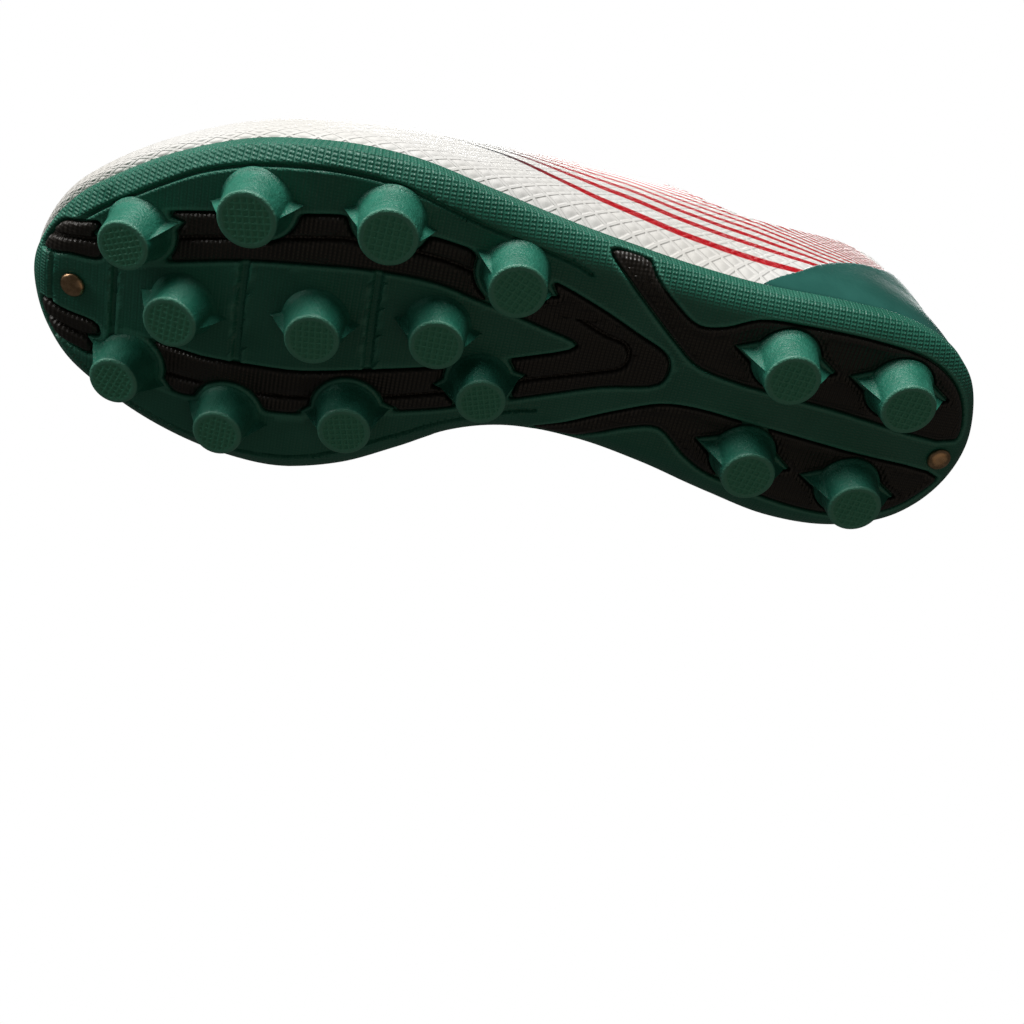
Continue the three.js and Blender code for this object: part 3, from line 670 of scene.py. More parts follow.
def stiffener_plastic():
    look = Look("stiffener_plastic", (0.42, 0.40, 0.36), 0.6)
    grain = look.noise(look.coordinates(), 1.4, 4)
    look.color(look.mix(grain, (0.36, 0.34, 0.30), (0.48, 0.46, 0.42)))
    look.bump(grain, 0.08)
    return look.material


LOOKS = {make.__name__: make() for make in (sole_green, stud_green, insert_black, nail_copper,
                                            board_fibre, stiffener_plastic)}


# ---- Sole ----
WALL_TOP = -3.7                # the rim's outer wall, unrolled outwards from the outline
SOLE_RINGS = [WALL_TOP, -2.8, -1.9, -1.0, -0.3, 0.3, 1.0, 1.8, 2.8, 4.0, 5.2, RIM_ROUND]
SOLE_CELLS = (150, 56)
SEAT_CLEARANCE = 0.42          # dark gap round each insert
NARROW_SEAM = 30
PLATE_SMOOTH = 42              # edges sharper than this many degrees stay sharp
STUD_SMOOTH = 50
UPPER_SMOOTH = 60


def sole_grid(cells, insets):
    """Points over the sole's outline. Columns: pattern x and y, unrolled inset, place x and y, and the
    inward direction. The outer rings follow the outline at the given insets."""
    nx, ny = cells
    rings = len(insets) - 1
    i, j = np.meshgrid(np.arange(nx + 1), np.arange(ny + 1), indexing="ij")
    ring = np.minimum.reduce([i, j, nx - i, ny - j, np.full_like(i, rings)])
    inset = np.array(insets, float)[ring]
    u, v = (i - ring) / (nx - 2 * ring), (j - ring) / (ny - 2 * ring)
    turn = len(OUTLINE)

    def cover(depth):
        def at(position):
            return outline_point(position, depth)

        def mix(a, b, t):
            return a * (1 - t[..., None]) + b * t[..., None]

        lateral = at(TOE_LATERAL + (HEEL_LATERAL - TOE_LATERAL) * u)
        medial = at(TOE_MEDIAL + (HEEL_MEDIAL - TOE_MEDIAL) * u)
        toe = at(TOE_LATERAL + turn + (TOE_MEDIAL - TOE_LATERAL - turn) * v)
        heel = at(HEEL_LATERAL + (HEEL_MEDIAL - HEEL_LATERAL) * v)
        full = np.ones_like(u)
        near = mix(at(TOE_LATERAL * full), at(HEEL_LATERAL * full), u)
        far = mix(at(TOE_MEDIAL * full), at(HEEL_MEDIAL * full), u)
        return mix(lateral, medial, v) + mix(toe, heel, u) - mix(near, far, v)

    pattern, spot = cover(inset), cover(np.maximum(inset, 0))
    inward = cover(inset + 0.5) - pattern
    inward /= np.linalg.norm(inward, axis=-1, keepdims=True)
    points = np.concatenate([pattern, inset[..., None], spot, inward], -1).reshape(-1, 7)
    quads = grid_faces(nx + 1, ny + 1)
    index = i * (ny + 1) + j
    loop = np.concatenate([index[:-1, 0], index[-1, :-1], index[:0:-1, -1], index[0, :0:-1]])
    positions = np.concatenate([np.linspace(a, b, n + 1)[:-1] for a, b, n in (
        (TOE_LATERAL, HEEL_LATERAL, nx), (HEEL_LATERAL, HEEL_MEDIAL, ny),
        (HEEL_MEDIAL, TOE_MEDIAL, nx), (TOE_MEDIAL, TOE_LATERAL + turn, ny))])
    return points, quads[:, ::-1], loop, positions


def under_surface(points, depth):
    """Places sole grid points, sunk into the sole by depth."""
    inset = points[:, 2]
    share = np.clip(inset / RIM_ROUND, 0, 1)
    rise = RIM_FOOT * (1 - share) ** 2 + np.maximum(-inset, 0)
    tilt = np.arctan(2 * RIM_FOOT / RIM_ROUND * (1 - share))
    tilt = tilt + (math.pi / 2 - tilt) * smooth(0.5 - inset)
    tilt[inset >= RIM_ROUND - 1e-6] = 0
    side = depth * np.sin(tilt)
    return on_sole(points[:, 3] + points[:, 5] * side, points[:, 4] + points[:, 6] * side,
                   rise + depth * np.cos(tilt))


def round_over(distance, radius):
    """How far a rounded edge has dropped at this distance from its foot."""
    t = np.clip(distance / radius, 0, 1)
    return radius * (1 - np.sqrt(1 - (1 - t) ** 2))


def ridge(distance, middle, width):
    """1 at the middle distance, falling off as a bell on both sides."""
    return np.exp(-(((distance - middle) / width) ** 2))


def groove(distance, half_width, depth):
    return depth * (1 - smooth((distance - half_width * 0.35) / (half_width * 0.9)))


def panel_seam(plan):
    """Half the width of the panels' seams: narrower in front of NARROW_SEAM."""
    return np.where(plan[:, 0] < NARROW_SEAM, 0.5, 1.1)


PLATE_ROUND = 0.6              # rounding of the plate's edge at the pockets
PLATE_BEAD = 0.2               # height of the beads beside the slits and the panels' seams
SLIT_GROOVE = (0.5, 0.8)       # half width and depth
TOE_GROOVE_SIZE = (0.6, 0.7)
PANEL_SEAM_DEPTH = 0.95
NAIL_SEAT_DEPTH = 0.35


def plate_relief(points):
    """Depth of the green plate's own grooves and rounded edges."""
    plan = points[:, :2]
    outside = -sample(POCKET_MAP, plan)
    slit = sample(SLIT_MAP, plan)
    depth = round_over(np.maximum(outside, 0), PLATE_ROUND)
    depth += groove(slit, *SLIT_GROOVE) - PLATE_BEAD * ridge(slit, 1.0, 0.45)
    depth += groove(sample(TOE_MAP, plan), *TOE_GROOVE_SIZE)
    seams = sample(PANEL_MAP, plan)
    narrow = panel_seam(plan)
    depth += (PANEL_SEAM_DEPTH * (1 - smooth((seams - narrow * 0.6) / 0.6))
              - PLATE_BEAD * ridge(seams - narrow, 0.7, 0.5))
    for x, y in NAILS.values():
        away = np.hypot(plan[:, 0] - x, plan[:, 1] - y) - NAIL_HEAD_RADIUS
        depth += NAIL_SEAT_DEPTH * (1 - smooth(away))
    return depth


def pocket_value(points):
    return np.minimum(sample(POCKET_MAP, points[:, :2]), points[:, 2] - WALL_TOP - 0.25)


def outsole_plate():
    """The green plate: its moulded face with the pockets' floors, the rim's lip and a plain inner face."""
    points, quads, loop, positions = sole_grid(SOLE_CELLS, SOLE_RINGS)

    def wanted(middle, length):
        plan = middle[:, :2]
        near = np.minimum.reduce([np.abs(sample(POCKET_MAP, plan)), sample(SLIT_MAP, plan),
                                  sample(PANEL_MAP, plan), sample(TOE_MAP, plan)])
        fine = (near < 0.85) & (length > 0.5) | (near < 1.8) & (length > 1.4)
        return fine & (middle[:, 2] > WALL_TOP + 0.2)

    points, tris = refine(points, triangles(quads), wanted)
    points, pocket, plate, seam = split_where(points, tris, pocket_value(points))
    upper = under_surface(points, plate_relief(points))
    floor = under_surface(points, np.full(len(points), POCKET_DEPTH + 0.1))
    # The rim's lip, and rings on the inner face that close in on its spine.
    lip = LIP / 2
    wall = RIM_FOOT - WALL_TOP
    profile = [(lip - lip * math.cos(a), wall + lip * 0.95 * math.sin(a))
               for a in np.linspace(0.3, math.pi, 8)]
    profile += [(LIP, PLATE_THICKNESS + 2), (LIP + 0.4, PLATE_THICKNESS)]
    count, n = len(points), len(loop)
    rings = [on_sole(*outline_point(positions, inset).T, np.full(n, z)) for inset, z in profile]
    last = rings[-1]
    spine = np.stack([np.clip(last[:, 0], 30, 210), np.full(n, -2.0)], -1)
    for keep in (0.75, 0.5, 0.25, 0.02):
        plan = last[:, :2] * keep + spine * (1 - keep)
        rings.append(on_sole(plan[:, 0], plan[:, 1], np.full(n, PLATE_THICKNESS)))
    all_points = np.vstack([upper, floor, *rings])
    start = 2 * count
    columns = np.vstack([loop[None], start + np.arange(len(rings) * n).reshape(-1, n)])
    k = np.arange(n)
    nxt = (k + 1) % n
    bands = [np.stack([a[k], a[nxt], b[nxt], b[k]], -1) for a, b in zip(columns[:-1], columns[1:])]
    walls = np.stack([seam[:, 0], seam[:, 1], seam[:, 1] + count, seam[:, 0] + count], -1)
    faces = [plate, pocket + count, walls, *[b[:, ::-1] for b in bands], columns[-1][None, ::-1]]
    pattern = np.zeros((len(all_points), 3))
    pattern[:count, :2] = pattern[count:start, :2] = points[:, :2]
    pattern[start:, :2] = np.tile(outline_point(positions, WALL_TOP - 1), (len(rings), 1))
    rim = np.ones(len(all_points))
    rim[:count] = rim[count:start] = 1 - smooth((points[:, 2] - 1) / 6)
    # edge marks the rounded edges at the pockets and the panels' seams, where the green material paints a
    # highlight.
    edge = np.zeros(len(all_points))
    outside = -sample(POCKET_MAP, points[:, :2])
    seams = sample(PANEL_MAP, points[:, :2]) - panel_seam(points)
    edge[:count] = np.maximum(ridge(outside, 0.6, 0.45), 0.8 * ridge(seams, 0.5, 0.35))
    made = piece("outsole_plate_moulded", all_points, faces, LOOKS["sole_green"], PLATE_SMOOTH,
                 {"pattern": pattern, "rim": rim, "edge": edge})
    face_outwards(made)
    return finish_piece(made, "shoe", "sole_green", "outsole_plate")


STRIP_GAP = 0.38               # half the width of the grooves between strips
INSERT_FOOT = 0.85             # depth of the inserts' edges below the plate's face
HEEL_FACE = (0.05, 0.55)       # depth of the face and rounding of its edge, under the heel
STRIP_FACE = (-0.35, 1.15)     # the same for the forefoot's strips, which stand proud
HEEL_BEAD = 0.28


def insert_relief(points, value):
    """Depth of the dark inserts' face, and the distance from the edge of each strip. They are rounded
    strips under the forefoot and a flat face with a bead at the heel."""
    plan = points[:, :2]
    strips = sample(STRIP_MAP, plan) - STRIP_GAP
    beside_v = np.abs(plan[:, 1] + 9) > 11 - smooth((plan[:, 0] - 155) / 4) * 11
    heel = smooth((plan[:, 0] - 118) / 8) * beside_v
    forefoot = soft_min(np.maximum(value, 0), np.maximum(strips, 0), 0.7)
    near = np.where(heel > 0.5, value, forefoot)
    top = np.where(heel > 0.5, HEEL_FACE[0], STRIP_FACE[0])
    radius = np.where(heel > 0.5, HEEL_FACE[1], STRIP_FACE[1])
    t = np.clip(near / radius, 0, 1)
    depth = top + (INSERT_FOOT - top) * (1 - np.sqrt(1 - (1 - t) ** 2))
    bead = ridge(value, 1.5, 0.4) * (heel > 0.5)
    return depth - HEEL_BEAD * bead, near


INSERT_PLACES = {"toe_lateral": (10, -13), "toe_medial": (10, 13), "heel_lateral": (190, -25),
                 "heel_medial": (190, 17), "forefoot_lateral": (60, -30), "forefoot_medial": (60, 18)}
SMALL_PATCH = 60               # patches with fewer points are slivers beside a stud


def inserts():
    """The six dark inserts, each from the patches of the pockets nearest to its place."""
    points, quads, _, _ = sole_grid(SOLE_CELLS, SOLE_RINGS)
    tris = triangles(quads)
    tris = tris[(pocket_value(points)[tris] > -1.8).any(1)]

    def wanted(middle, length):
        plan = middle[:, :2]
        near = np.minimum(np.abs(sample(POCKET_MAP, plan) - SEAT_CLEARANCE), sample(STRIP_MAP, plan))
        return (near < 1.7) & (length > 0.45)

    points, tris = refine(points, tris, wanted)
    value = pocket_value(points) - SEAT_CLEARANCE
    points, kept, _, _ = split_where(points, tris, value)
    points, kept, _ = compact(points, kept)
    value = np.maximum(pocket_value(points) - SEAT_CLEARANCE, 0)
    groups = connected(len(points), kept)
    chosen = {name: [] for name in INSERT_PLACES}
    for g in np.unique(groups):
        own = groups == g
        if own.sum() < SMALL_PATCH:
            continue
        centre = points[own, :2].mean(0)

        def away(name):
            spot = INSERT_PLACES[name]
            other_side = (spot[1] > 0) != (centre[1] > 2)
            return np.hypot(*(centre - spot)) + 40 * other_side

        chosen[min(INSERT_PLACES, key=away)].append(g)
    for name, members in chosen.items():
        mine = kept[np.isin(groups[kept[:, 0]], members)]
        if not len(mine):
            continue
        own, faces, used = compact(points, mine)
        depth, near = insert_relief(own, value[used])
        top = under_surface(own, depth)
        bottom = under_surface(own, np.full(len(own), POCKET_DEPTH - 0.05))
        n = len(own)
        pattern = np.zeros((2 * n, 3))
        pattern[:n, :2] = pattern[n:, :2] = own[:, :2]
        # edge marks a band just inside each insert's rounded edge, which the dark material paints lighter as
        # a highlight.
        edge = np.concatenate([ridge(near, 0.55, 0.35), np.zeros(n)])
        made = piece(f"insert_{name}_ribbed", np.vstack([top, bottom]),
                     closed_sheet(faces, border(faces), n), LOOKS["insert_black"], PLATE_SMOOTH,
                     {"pattern": pattern, "edge": edge})
        finish_piece(made, "shoe", "insert_black", f"insert_{name}")


def connected(count, tris):
    """A number for each point that is the same over each connected patch."""
    group = np.arange(count)
    while True:
        low = group[tris].min(1)
        new = group.copy()
        for corner in range(3):
            np.minimum.at(new, tris[:, corner], low)
        new = new[new]
        if (new == group).all():
            return group
        group = new


# ---- Studs ----
STUD_ANGLES = 144
STUD_SINK = 0.6                # the stud's foot goes this far into the plate
STUD_BEVEL = 0.75
WAFFLE_DEPTH = 0.34
WAFFLE_CELLS = 7


def square_to_sole(x, y, plan, up):
    """Puts points round (x, y) of the sole, with up measured square to its underside."""
    slope = float(underside(x + 0.5) - underside(x - 0.5))
    run = math.hypot(1, slope)
    seat = on_sole(np.array([x], float), y, np.zeros(1))[0]
    along, out = np.array([1, 0, slope]) / run, np.array([-slope, 0, 1]) / run
    return seat + plan[:, :1] * along + plan[:, 1:2] * np.array([0, 1, 0]) + up * out


def stud(name, x, y, turn, tip, base, fin):
    """A cone with two fins that fade into it, a rounded end and a waffle grid in a smooth ring."""
    angle = np.arange(STUD_ANGLES) / STUD_ANGLES * 2 * math.pi
    cosine, sine = np.abs(np.cos(angle)), np.abs(np.sin(angle))

    def radius(t):
        cone = base + (tip - base) * t + 0.7 * math.exp(-max(t, 0) / 0.06)
        reach = fin * (1 - t) + 0.86 * cone * t + 0.4 * (t < 0.01)
        blade = (np.maximum(cosine / reach, 1e-6) ** 0.82 + (sine / (cone * 0.72)) ** 0.82) ** (-1 / 0.82)
        return -soft_min(np.full_like(angle, -cone), -blade, 0.5)

    bevel = STUD_BEVEL
    rows = []
    for z in np.concatenate([[-STUD_SINK], np.linspace(0, STUD_HEIGHT - bevel, 22)]):
        r = radius(max(z, 0) / STUD_HEIGHT)
        rows.append(np.stack([r * np.cos(angle), r * np.sin(angle), np.full_like(angle, z)], -1))
    end = rows[-1][:, :2]
    length = np.linalg.norm(end, axis=1, keepdims=True)
    for a in np.linspace(0, math.pi / 2, 6)[1:]:
        inward = bevel * (1 - math.cos(a))
        ring = end * (length - inward) / length
        height = np.full((len(ring), 1), STUD_HEIGHT - bevel + bevel * math.sin(a))
        rows.append(np.concatenate([ring, height], 1))
    face = rows[-1][:, :2]
    grid_radius = tip - bevel - 0.55
    pitch = 2 * grid_radius / WAFFLE_CELLS
    for s in np.linspace(1, 0, 34)[1:-1]:
        plan = face * s
        away = np.linalg.norm(plan, axis=1)
        cell = np.abs((plan / pitch + 0.5) % 1 - 0.5) * pitch
        line = np.minimum(pitch / 2 - cell[:, 0], pitch / 2 - cell[:, 1])
        dip = smooth((line - 0.14) / 0.3) * smooth((grid_radius - away) / 0.3)
        rows.append(np.concatenate([plan, (STUD_HEIGHT - WAFFLE_DEPTH * dip)[:, None]], 1))
    points = np.vstack(rows)
    count = len(rows)
    faces = grid_faces(count, STUD_ANGLES, wrap=True)
    middle = len(points)
    k = np.arange(STUD_ANGLES)
    last = (count - 1) * STUD_ANGLES
    caps = [np.stack([last + k, last + (k + 1) % STUD_ANGLES, np.full(STUD_ANGLES, middle)], -1),
            np.stack([(k + 1) % STUD_ANGLES, k, np.full(STUD_ANGLES, middle + 1)], -1)]
    points = np.vstack([points, [0, 0, STUD_HEIGHT - WAFFLE_DEPTH], [0, 0, -STUD_SINK]])
    # edge marks the rounded rim of the end, which the stud's material paints lighter as a highlight.
    edge = ridge(points[:, 2] - STUD_HEIGHT, -0.25, 0.35)
    edge[np.hypot(*points[:, :2].T) < grid_radius] = 0.0
    # Out of the stud's own frame: turned about its axis, upside down, square to the sole.
    turn = math.radians(turn)
    along = np.array([math.cos(turn), math.sin(turn)])
    plan = points[:, :1] * along + points[:, 1:2] * np.array([along[1], -along[0]])
    spots = square_to_sole(x, y, plan, -points[:, 2:3])
    made = piece(f"{name}_moulded", spots, [faces, *caps], LOOKS["stud_green"], STUD_SMOOTH,
                 {"edge": edge, "face": (points[:, 2] > STUD_HEIGHT - 0.5).astype(float)})
    return finish_piece(made, "shoe", "stud_green", name)


def nail(name, x, y):
    """A domed head with a flattened middle, on its shank."""
    r = NAIL_HEAD_RADIUS
    profile = [(0.0, -1.0), (0.3, -1.02), (0.55, -1.0), (0.75, -0.88), (0.88, -0.68), (0.96, -0.4),
               (1.0, -0.1), (0.98, 0.05), (0.9, 0.12), (0.35, 0.15), (0.35, 2.4), (0.0, 2.6)]
    sides = 48
    angle = np.arange(sides) / sides * 2 * math.pi
    rows = [np.stack([r * s * np.cos(angle), r * s * np.sin(angle), np.full(sides, z)], -1)
            for s, z in profile[1:-1]]
    points = np.vstack([*rows, [0, 0, profile[0][1]], [0, 0, profile[-1][1]]])
    count, k = len(rows), np.arange(sides)
    last = (count - 1) * sides
    faces = [grid_faces(count, sides, wrap=True)[:, ::-1],
             np.stack([k, (k + 1) % sides, np.full(sides, count * sides)], -1),
             np.stack([last + (k + 1) % sides, last + k, np.full(sides, count * sides + 1)], -1)]
    spots = square_to_sole(x, y, points[:, :2], points[:, 2:3])
    made = piece(f"{name}_head", spots, faces, LOOKS["nail_copper"], STUD_SMOOTH)
    return finish_piece(made, "shoe", "nail_copper", name)


outsole_plate()
inserts()
for stud_name, (x, y, turn, tip, base, fin, _) in STUDS.items():
    stud(stud_name, x, y, turn, tip, base, fin)
for nail_name, (x, y) in NAILS.items():
    nail(nail_name, x, y)

# ---- Upper: the form over the foot ----
HALF_LENGTH = 265.0            # girth of the sole's edge from toe to heel
WALL_GIRTH = 95.0              # typical way from the sole's edge to the crest
FOOT_INSET = LIP + 0.2         # the upper's face stands close behind the rim's lip
# The printed stripes: height of the lowest one, how far they have spread, and stripes per millimetre.
stripe_base = stations((
    (70, 36), (92, 36.8), (100, 37.6), (110, 36.8), (121, 34.8), (131, 33.8), (142, 33.6), (153, 33),
    (163, 32.6), (174, 32.2), (186, 31.0), (200, 29), (240, 25)))
stripe_spread = stations((
    (70, 0.1), (92, 0.12), (99, 0.22), (110, 0.42), (121, 0.58), (131, 0.76), (143, 0.92), (154, 0.97),
    (164, 1.0), (176, 1.02), (186, 0.88), (197, 0.74), (240, 0.5)))
STRIPE_PACE = (0.0678, 0.00395)


def form(w, v, depth):
    """Points of the form over the foot. w goes 0 to 1 along the lateral side from toe to heel and 1 to
    2 back along the medial side. v goes 0 at the sole's edge to 1 at the crest; below 0 it runs down
    behind the rim. depth is measured inwards from the upper's face."""
    w, v = np.broadcast_arrays(np.asarray(w, float), np.asarray(v, float))
    depth = np.broadcast_to(np.asarray(depth, float), w.shape)
    s = np.where(w <= 1, w, 2 - w)
    lateral, medial = s * HEEL_MIDDLE, s * (HEEL_MIDDLE - len(OUTLINE))
    position = np.where(w <= 1, lateral, medial)
    edge = outline_point(position, np.zeros_like(s))
    foot = outline_point(position, WALL_INSET + depth)
    out = (edge - foot) / (WALL_INSET + depth)[..., None]
    flare = (WALL_INSET - FOOT_INSET) * (1 - smooth(v / 0.16))
    flare = np.where(v < 0, (WALL_INSET - FOOT_INSET) - 0.5 * smooth(-v / 0.05), flare)
    base = on_sole(foot[..., 0], foot[..., 1], RIM_HEIGHT + GAP + np.minimum(v, 0) * WALL_GIRTH)
    middle = (outline_point(lateral, np.zeros_like(s))[..., 0]
              + outline_point(medial, np.zeros_like(s))[..., 0]) / 2
    crest_x = CREST_TOE + middle / SOLE_LENGTH * (CREST_HEEL - CREST_TOE)
    crest_z = crest_height(crest_x) - depth
    climb = np.clip(v, 0, 1)
    power = 2 / wall_squareness(crest_x)
    across = np.maximum(np.cos(climb * math.pi / 2), 0) ** power
    up = np.sin(climb * math.pi / 2) ** power
    swell = wall_swell(foot[..., 0]) * np.sin(math.pi * climb ** 0.6) + flare
    behind = (base[..., 0] - crest_x) * across
    fall = (crest_height(crest_x + 1) - crest_height(crest_x - 1)) / 2 * behind
    return np.stack([
        crest_x + behind + out[..., 0] * swell,
        crest_side(crest_x) + (base[..., 1] - crest_side(crest_x)) * across + out[..., 1] * swell,
        base[..., 2] + (crest_z + fall - base[..., 2]) * up,
    ], -1)


def inside(points, loop):
    """Distance to a closed outline of the plane points: above zero inside it."""
    best = np.full(len(points), 1e9)
    odd = np.zeros(len(points), bool)
    for a, b in zip(loop, np.roll(loop, -1, 0)):
        d = b - a
        t = np.clip(((points - a) @ d) / max(d @ d, 1e-9), 0, 1)
        best = np.minimum(best, np.hypot(*(points - a - t[:, None] * d).T))
        if a[1] != b[1]:
            spans = (points[:, 1] >= min(a[1], b[1])) & (points[:, 1] < max(a[1], b[1]))
            cut = a[0] + (points[:, 1] - a[1]) * (b[0] - a[0]) / (b[1] - a[1])
            odd ^= spans & (points[:, 0] < cut)
    return best * np.where(odd, 1, -1)


THROAT_LOOP = rounded(THROAT, 5)
TONGUE_LOOP = rounded(TONGUE_TOP, 4)
TOPLINE_EDGE = rounded(TOPLINE[1:-1], 6, closed=False)
COUNTER_EDGE = rounded([(169, 6), (171, 14.5), (173.5, 18.6), (179.3, 24.6), (185.6, 30), (191, 36),
                        (197.8, 42), (204.5, 46.5), (213, 52), (222, 60), (232, 67), (240, 71),
                        (262, 73)], 4, closed=False)


UNCUT = 30.0                   # distance given where an opening doesn't reach
THROAT_LOW = 40                # the throat cuts only what is above this height


def below_topline(spots, raised=0.0):
    """Distance below the shoe's upper edge, seen from the side."""
    line = np.vstack([[(130, 160)], TOPLINE_EDGE, [(262, 160)]]) + [0, raised]
    return -inside(spots[:, [0, 2]], line)


def beside_throat(spots):
    return np.where(spots[:, 2] > THROAT_LOW, -inside(spots[:, :2], THROAT_LOOP), UNCUT)


def round_eyelets(spots):
    """Distance from the rims of the eyelets."""
    best = np.full(len(spots), UNCUT)
    for k in range(EYELETS_PER_SIDE):
        x = EYELET_START + k * EYELET_PITCH
        tilt = math.radians(EYELET_ANGLE + EYELET_FAN * k)
        start = np.array([x, float(crest_side(x)), float(crest_height(x)) - EYELET_CENTRE])
        for sign in (-1, 1):
            axis = np.array([0, sign * math.sin(tilt), math.cos(tilt)])
            away = spots - start
            run = away @ axis
            radius = np.linalg.norm(away - run[:, None] * axis, axis=1)
            best = np.minimum(best, np.where(run > 4, radius - EYELET_RADIUS, UNCUT))
    return best


def form_grid(rows, columns, w_range, v_range):
    """Grid over the form. Columns: way along and up the form in millimetres, then w and v."""
    along, up = np.linspace(*w_range, rows + 1), np.linspace(*v_range, columns + 1)
    w, v = np.meshgrid(along, up, indexing="ij")
    points = np.stack([w * HALF_LENGTH, v * WALL_GIRTH, w, v], -1).reshape(-1, 4)
    return points, triangles(grid_faces(rows + 1, columns + 1))


def on_crest(points, depth):
    """Places a grid that runs across the crest: its v is 0 on the crest and below 0 on the lateral side."""
    w = np.where(points[:, 3] <= 0, points[:, 2], 2 - points[:, 2])
    return form(w, 1 - np.abs(points[:, 3]), depth)


def on_form(points, depth):
    return form(points[:, 2], points[:, 3], depth)


def layer(name, grid, put, reach, outer, inner, rim, material, relief=None, extra=None, edge_cell=0.6):
    """A closed sheet over the form between two depths, cut where reach(spots) is below zero and with
    rounded edges. relief(points, spots) pushes its outer face inwards. extra makes more attributes."""
    points, tris = grid
    spots = put(points, outer)
    value = reach(points, spots)
    tris = tris[(value[tris] > -3).any(1)]

    def wanted(middle, length):
        return (np.abs(reach(middle, put(middle, outer))) < 1.2) & (length > edge_cell)

    points, tris = refine(points, tris, wanted, 3)
    value = reach(points, put(points, outer))
    points, kept, _, _ = split_where(points, tris, value)
    points, kept, _ = compact(points, kept)
    spots = put(points, outer)
    value = np.maximum(reach(points, spots), 0)
    drop = round_over(value, rim)
    face = outer + drop + (relief(points, spots) if relief else 0)
    back = inner - np.minimum(drop, (inner - outer) / 2 - 0.02)
    top, bottom = put(points, face), put(points, back)
    n = len(points)
    both = np.vstack([top, bottom])
    attributes = {"pattern": np.tile(np.stack([points[:, 0], points[:, 1], value], -1), (2, 1))}
    attributes["inner"] = np.concatenate([np.zeros(n), np.ones(n)])
    if extra:
        attributes.update({key: np.concatenate([item, item]) for key, item in extra(points, spots).items()})
    made = piece(name, both, closed_sheet(kept, border(kept), n), material, UPPER_SMOOTH, attributes)
    face_outwards(made)
    return made


def printed(points, spots):
    """Stripe number and place along the shoe, for the printed lines."""
    rise = (spots[:, 2] - stripe_base(spots[:, 0])) / stripe_spread(spots[:, 0])
    number = STRIPE_PACE[0] * rise + STRIPE_PACE[1] * rise * np.abs(rise)
    return {"print": np.stack([number, spots[:, 0], spots[:, 2]], -1)}


# ---- Looks of the upper ----
def printed_stripes(look, ground):
    """Lines that fan out to the heel, dark in front and red behind, on the ground colour."""
    split = look.node("ShaderNodeSeparateXYZ")
    look.links.new(look.coordinates("print"), split.inputs[0])
    number, along = split.outputs[0], split.outputs[1]
    frac = look.math("FRACT", look.math("ADD", number, 0.5))
    near = look.math("ABSOLUTE", look.math("SUBTRACT", frac, 0.5))
    half = look.ramp(number, 0.135, 0.215, 0.0, 1.3)
    line = look.ramp(look.math("SUBTRACT", near, half), 1.0, 0.0, -0.03, 0.03)
    low = look.ramp(number, 0.0, 1.0, -0.5, -0.45)
    high = look.ramp(number, 1.0, 0.0, 17.4, 17.5)
    lag = look.math("MULTIPLY", look.math("MAXIMUM", number, 0.0), 2.6)
    start = look.ramp(look.math("SUBTRACT", along, lag), 0.0, 1.0, 88, 91)
    wear = look.noise(look.coordinates("pattern"), 2.5, 3)
    line = look.math("MULTIPLY", look.math("MULTIPLY", line, low), look.math("MULTIPLY", high, start))
    line = look.math("MULTIPLY", line, look.ramp(look.value("inner"), 1.0, 0.0))
    line = look.math("MULTIPLY", line, look.ramp(wear, 0.86, 1.0, 0.25, 0.45))
    ink = look.mix(look.ramp(along, 0.0, 1.0, 104, 130), (0.008, 0.016, 0.022), (0.50, 0.004, 0.012))
    return look.mix(line, ground, ink)


def upper_white(name, net):
    look = Look(name, (0.80, 0.79, 0.76), 0.46, Specular_IOR_Level=0.25)
    pattern = look.coordinates("pattern")
    cloudy = look.noise(pattern, 0.035, 4)
    grain = look.noise(pattern, 1.5, 4, 0.6)
    ground = look.mix(look.ramp(cloudy, 0.0, 1.0, 0.3, 0.7), (0.76, 0.745, 0.71), (0.83, 0.825, 0.81))
    lining = look.mix(grain, (0.055, 0.05, 0.05), (0.10, 0.095, 0.09))
    look.color(look.mix(look.value("inner"), printed_stripes(look, ground), lining))
    look.roughness(look.ramp(grain, 0.34, 0.52, 0.3, 0.7))
    if net:
        lattice = look.coordinates("net")
        first = look.waves(lattice, NET_PITCH, "X")
        second = look.waves(lattice, NET_PITCH, "Y")
        ridge = look.math("MAXIMUM", look.math("POWER", first, 7.0), look.math("POWER", second, 7.0))
        look.bump(look.ramp(ridge, 0.0, 1.0, 0.05, 0.75), 0.32)
        puff = look.math("MULTIPLY", look.math("SUBTRACT", 1.0, first), look.math("SUBTRACT", 1.0, second))
        look.bump(puff, 0.30)
    look.bump(grain, 0.05)
    return look.material


NET_PITCH = 4.2


def net_lines(points, spots):
    found = printed(points, spots)
    a, b = points[:, 0] * 0.80, points[:, 1] * 1.05
    found["net"] = np.stack([a + b, a - b, np.zeros_like(a)], -1)
    return found


def counter_teal():
    look = Look("counter_teal", (0.022, 0.110, 0.092), 0.34, Specular_IOR_Level=0.3, IOR=1.18)
    pattern = look.coordinates("pattern")
    fine = look.noise(pattern, 1.1, 4)
    cloudy = look.noise(pattern, 0.07, 3)
    look.color(look.mix(look.ramp(cloudy, 0.0, 1.0, 0.3, 0.7), (0.018, 0.095, 0.078), (0.028, 0.130, 0.108)))
    look.roughness(look.ramp(fine, 0.30, 0.40, 0.3, 0.7))
    look.bump(fine, 0.05)
    return look.material


def knit(name, dark, light, pitch, depth):
    """A knitted or woven textile."""
    look = Look(name, light, 0.82, Sheen_Weight=0.35, Sheen_Roughness=0.5)
    pattern = look.coordinates("pattern")
    cloth = weave(look, pattern, pitch)
    fuzz = look.noise(pattern, 3.5, 3)
    tint = look.mix(look.ramp(cloth, 0.0, 1.0, 0.2, 1.6), dark, light)
    look.color(look.mix(look.ramp(fuzz, 0.0, 0.35, 0.35, 0.65), tint, light))
    look.bump(cloth, depth)
    look.bump(fuzz, 0.12)
    return look.material


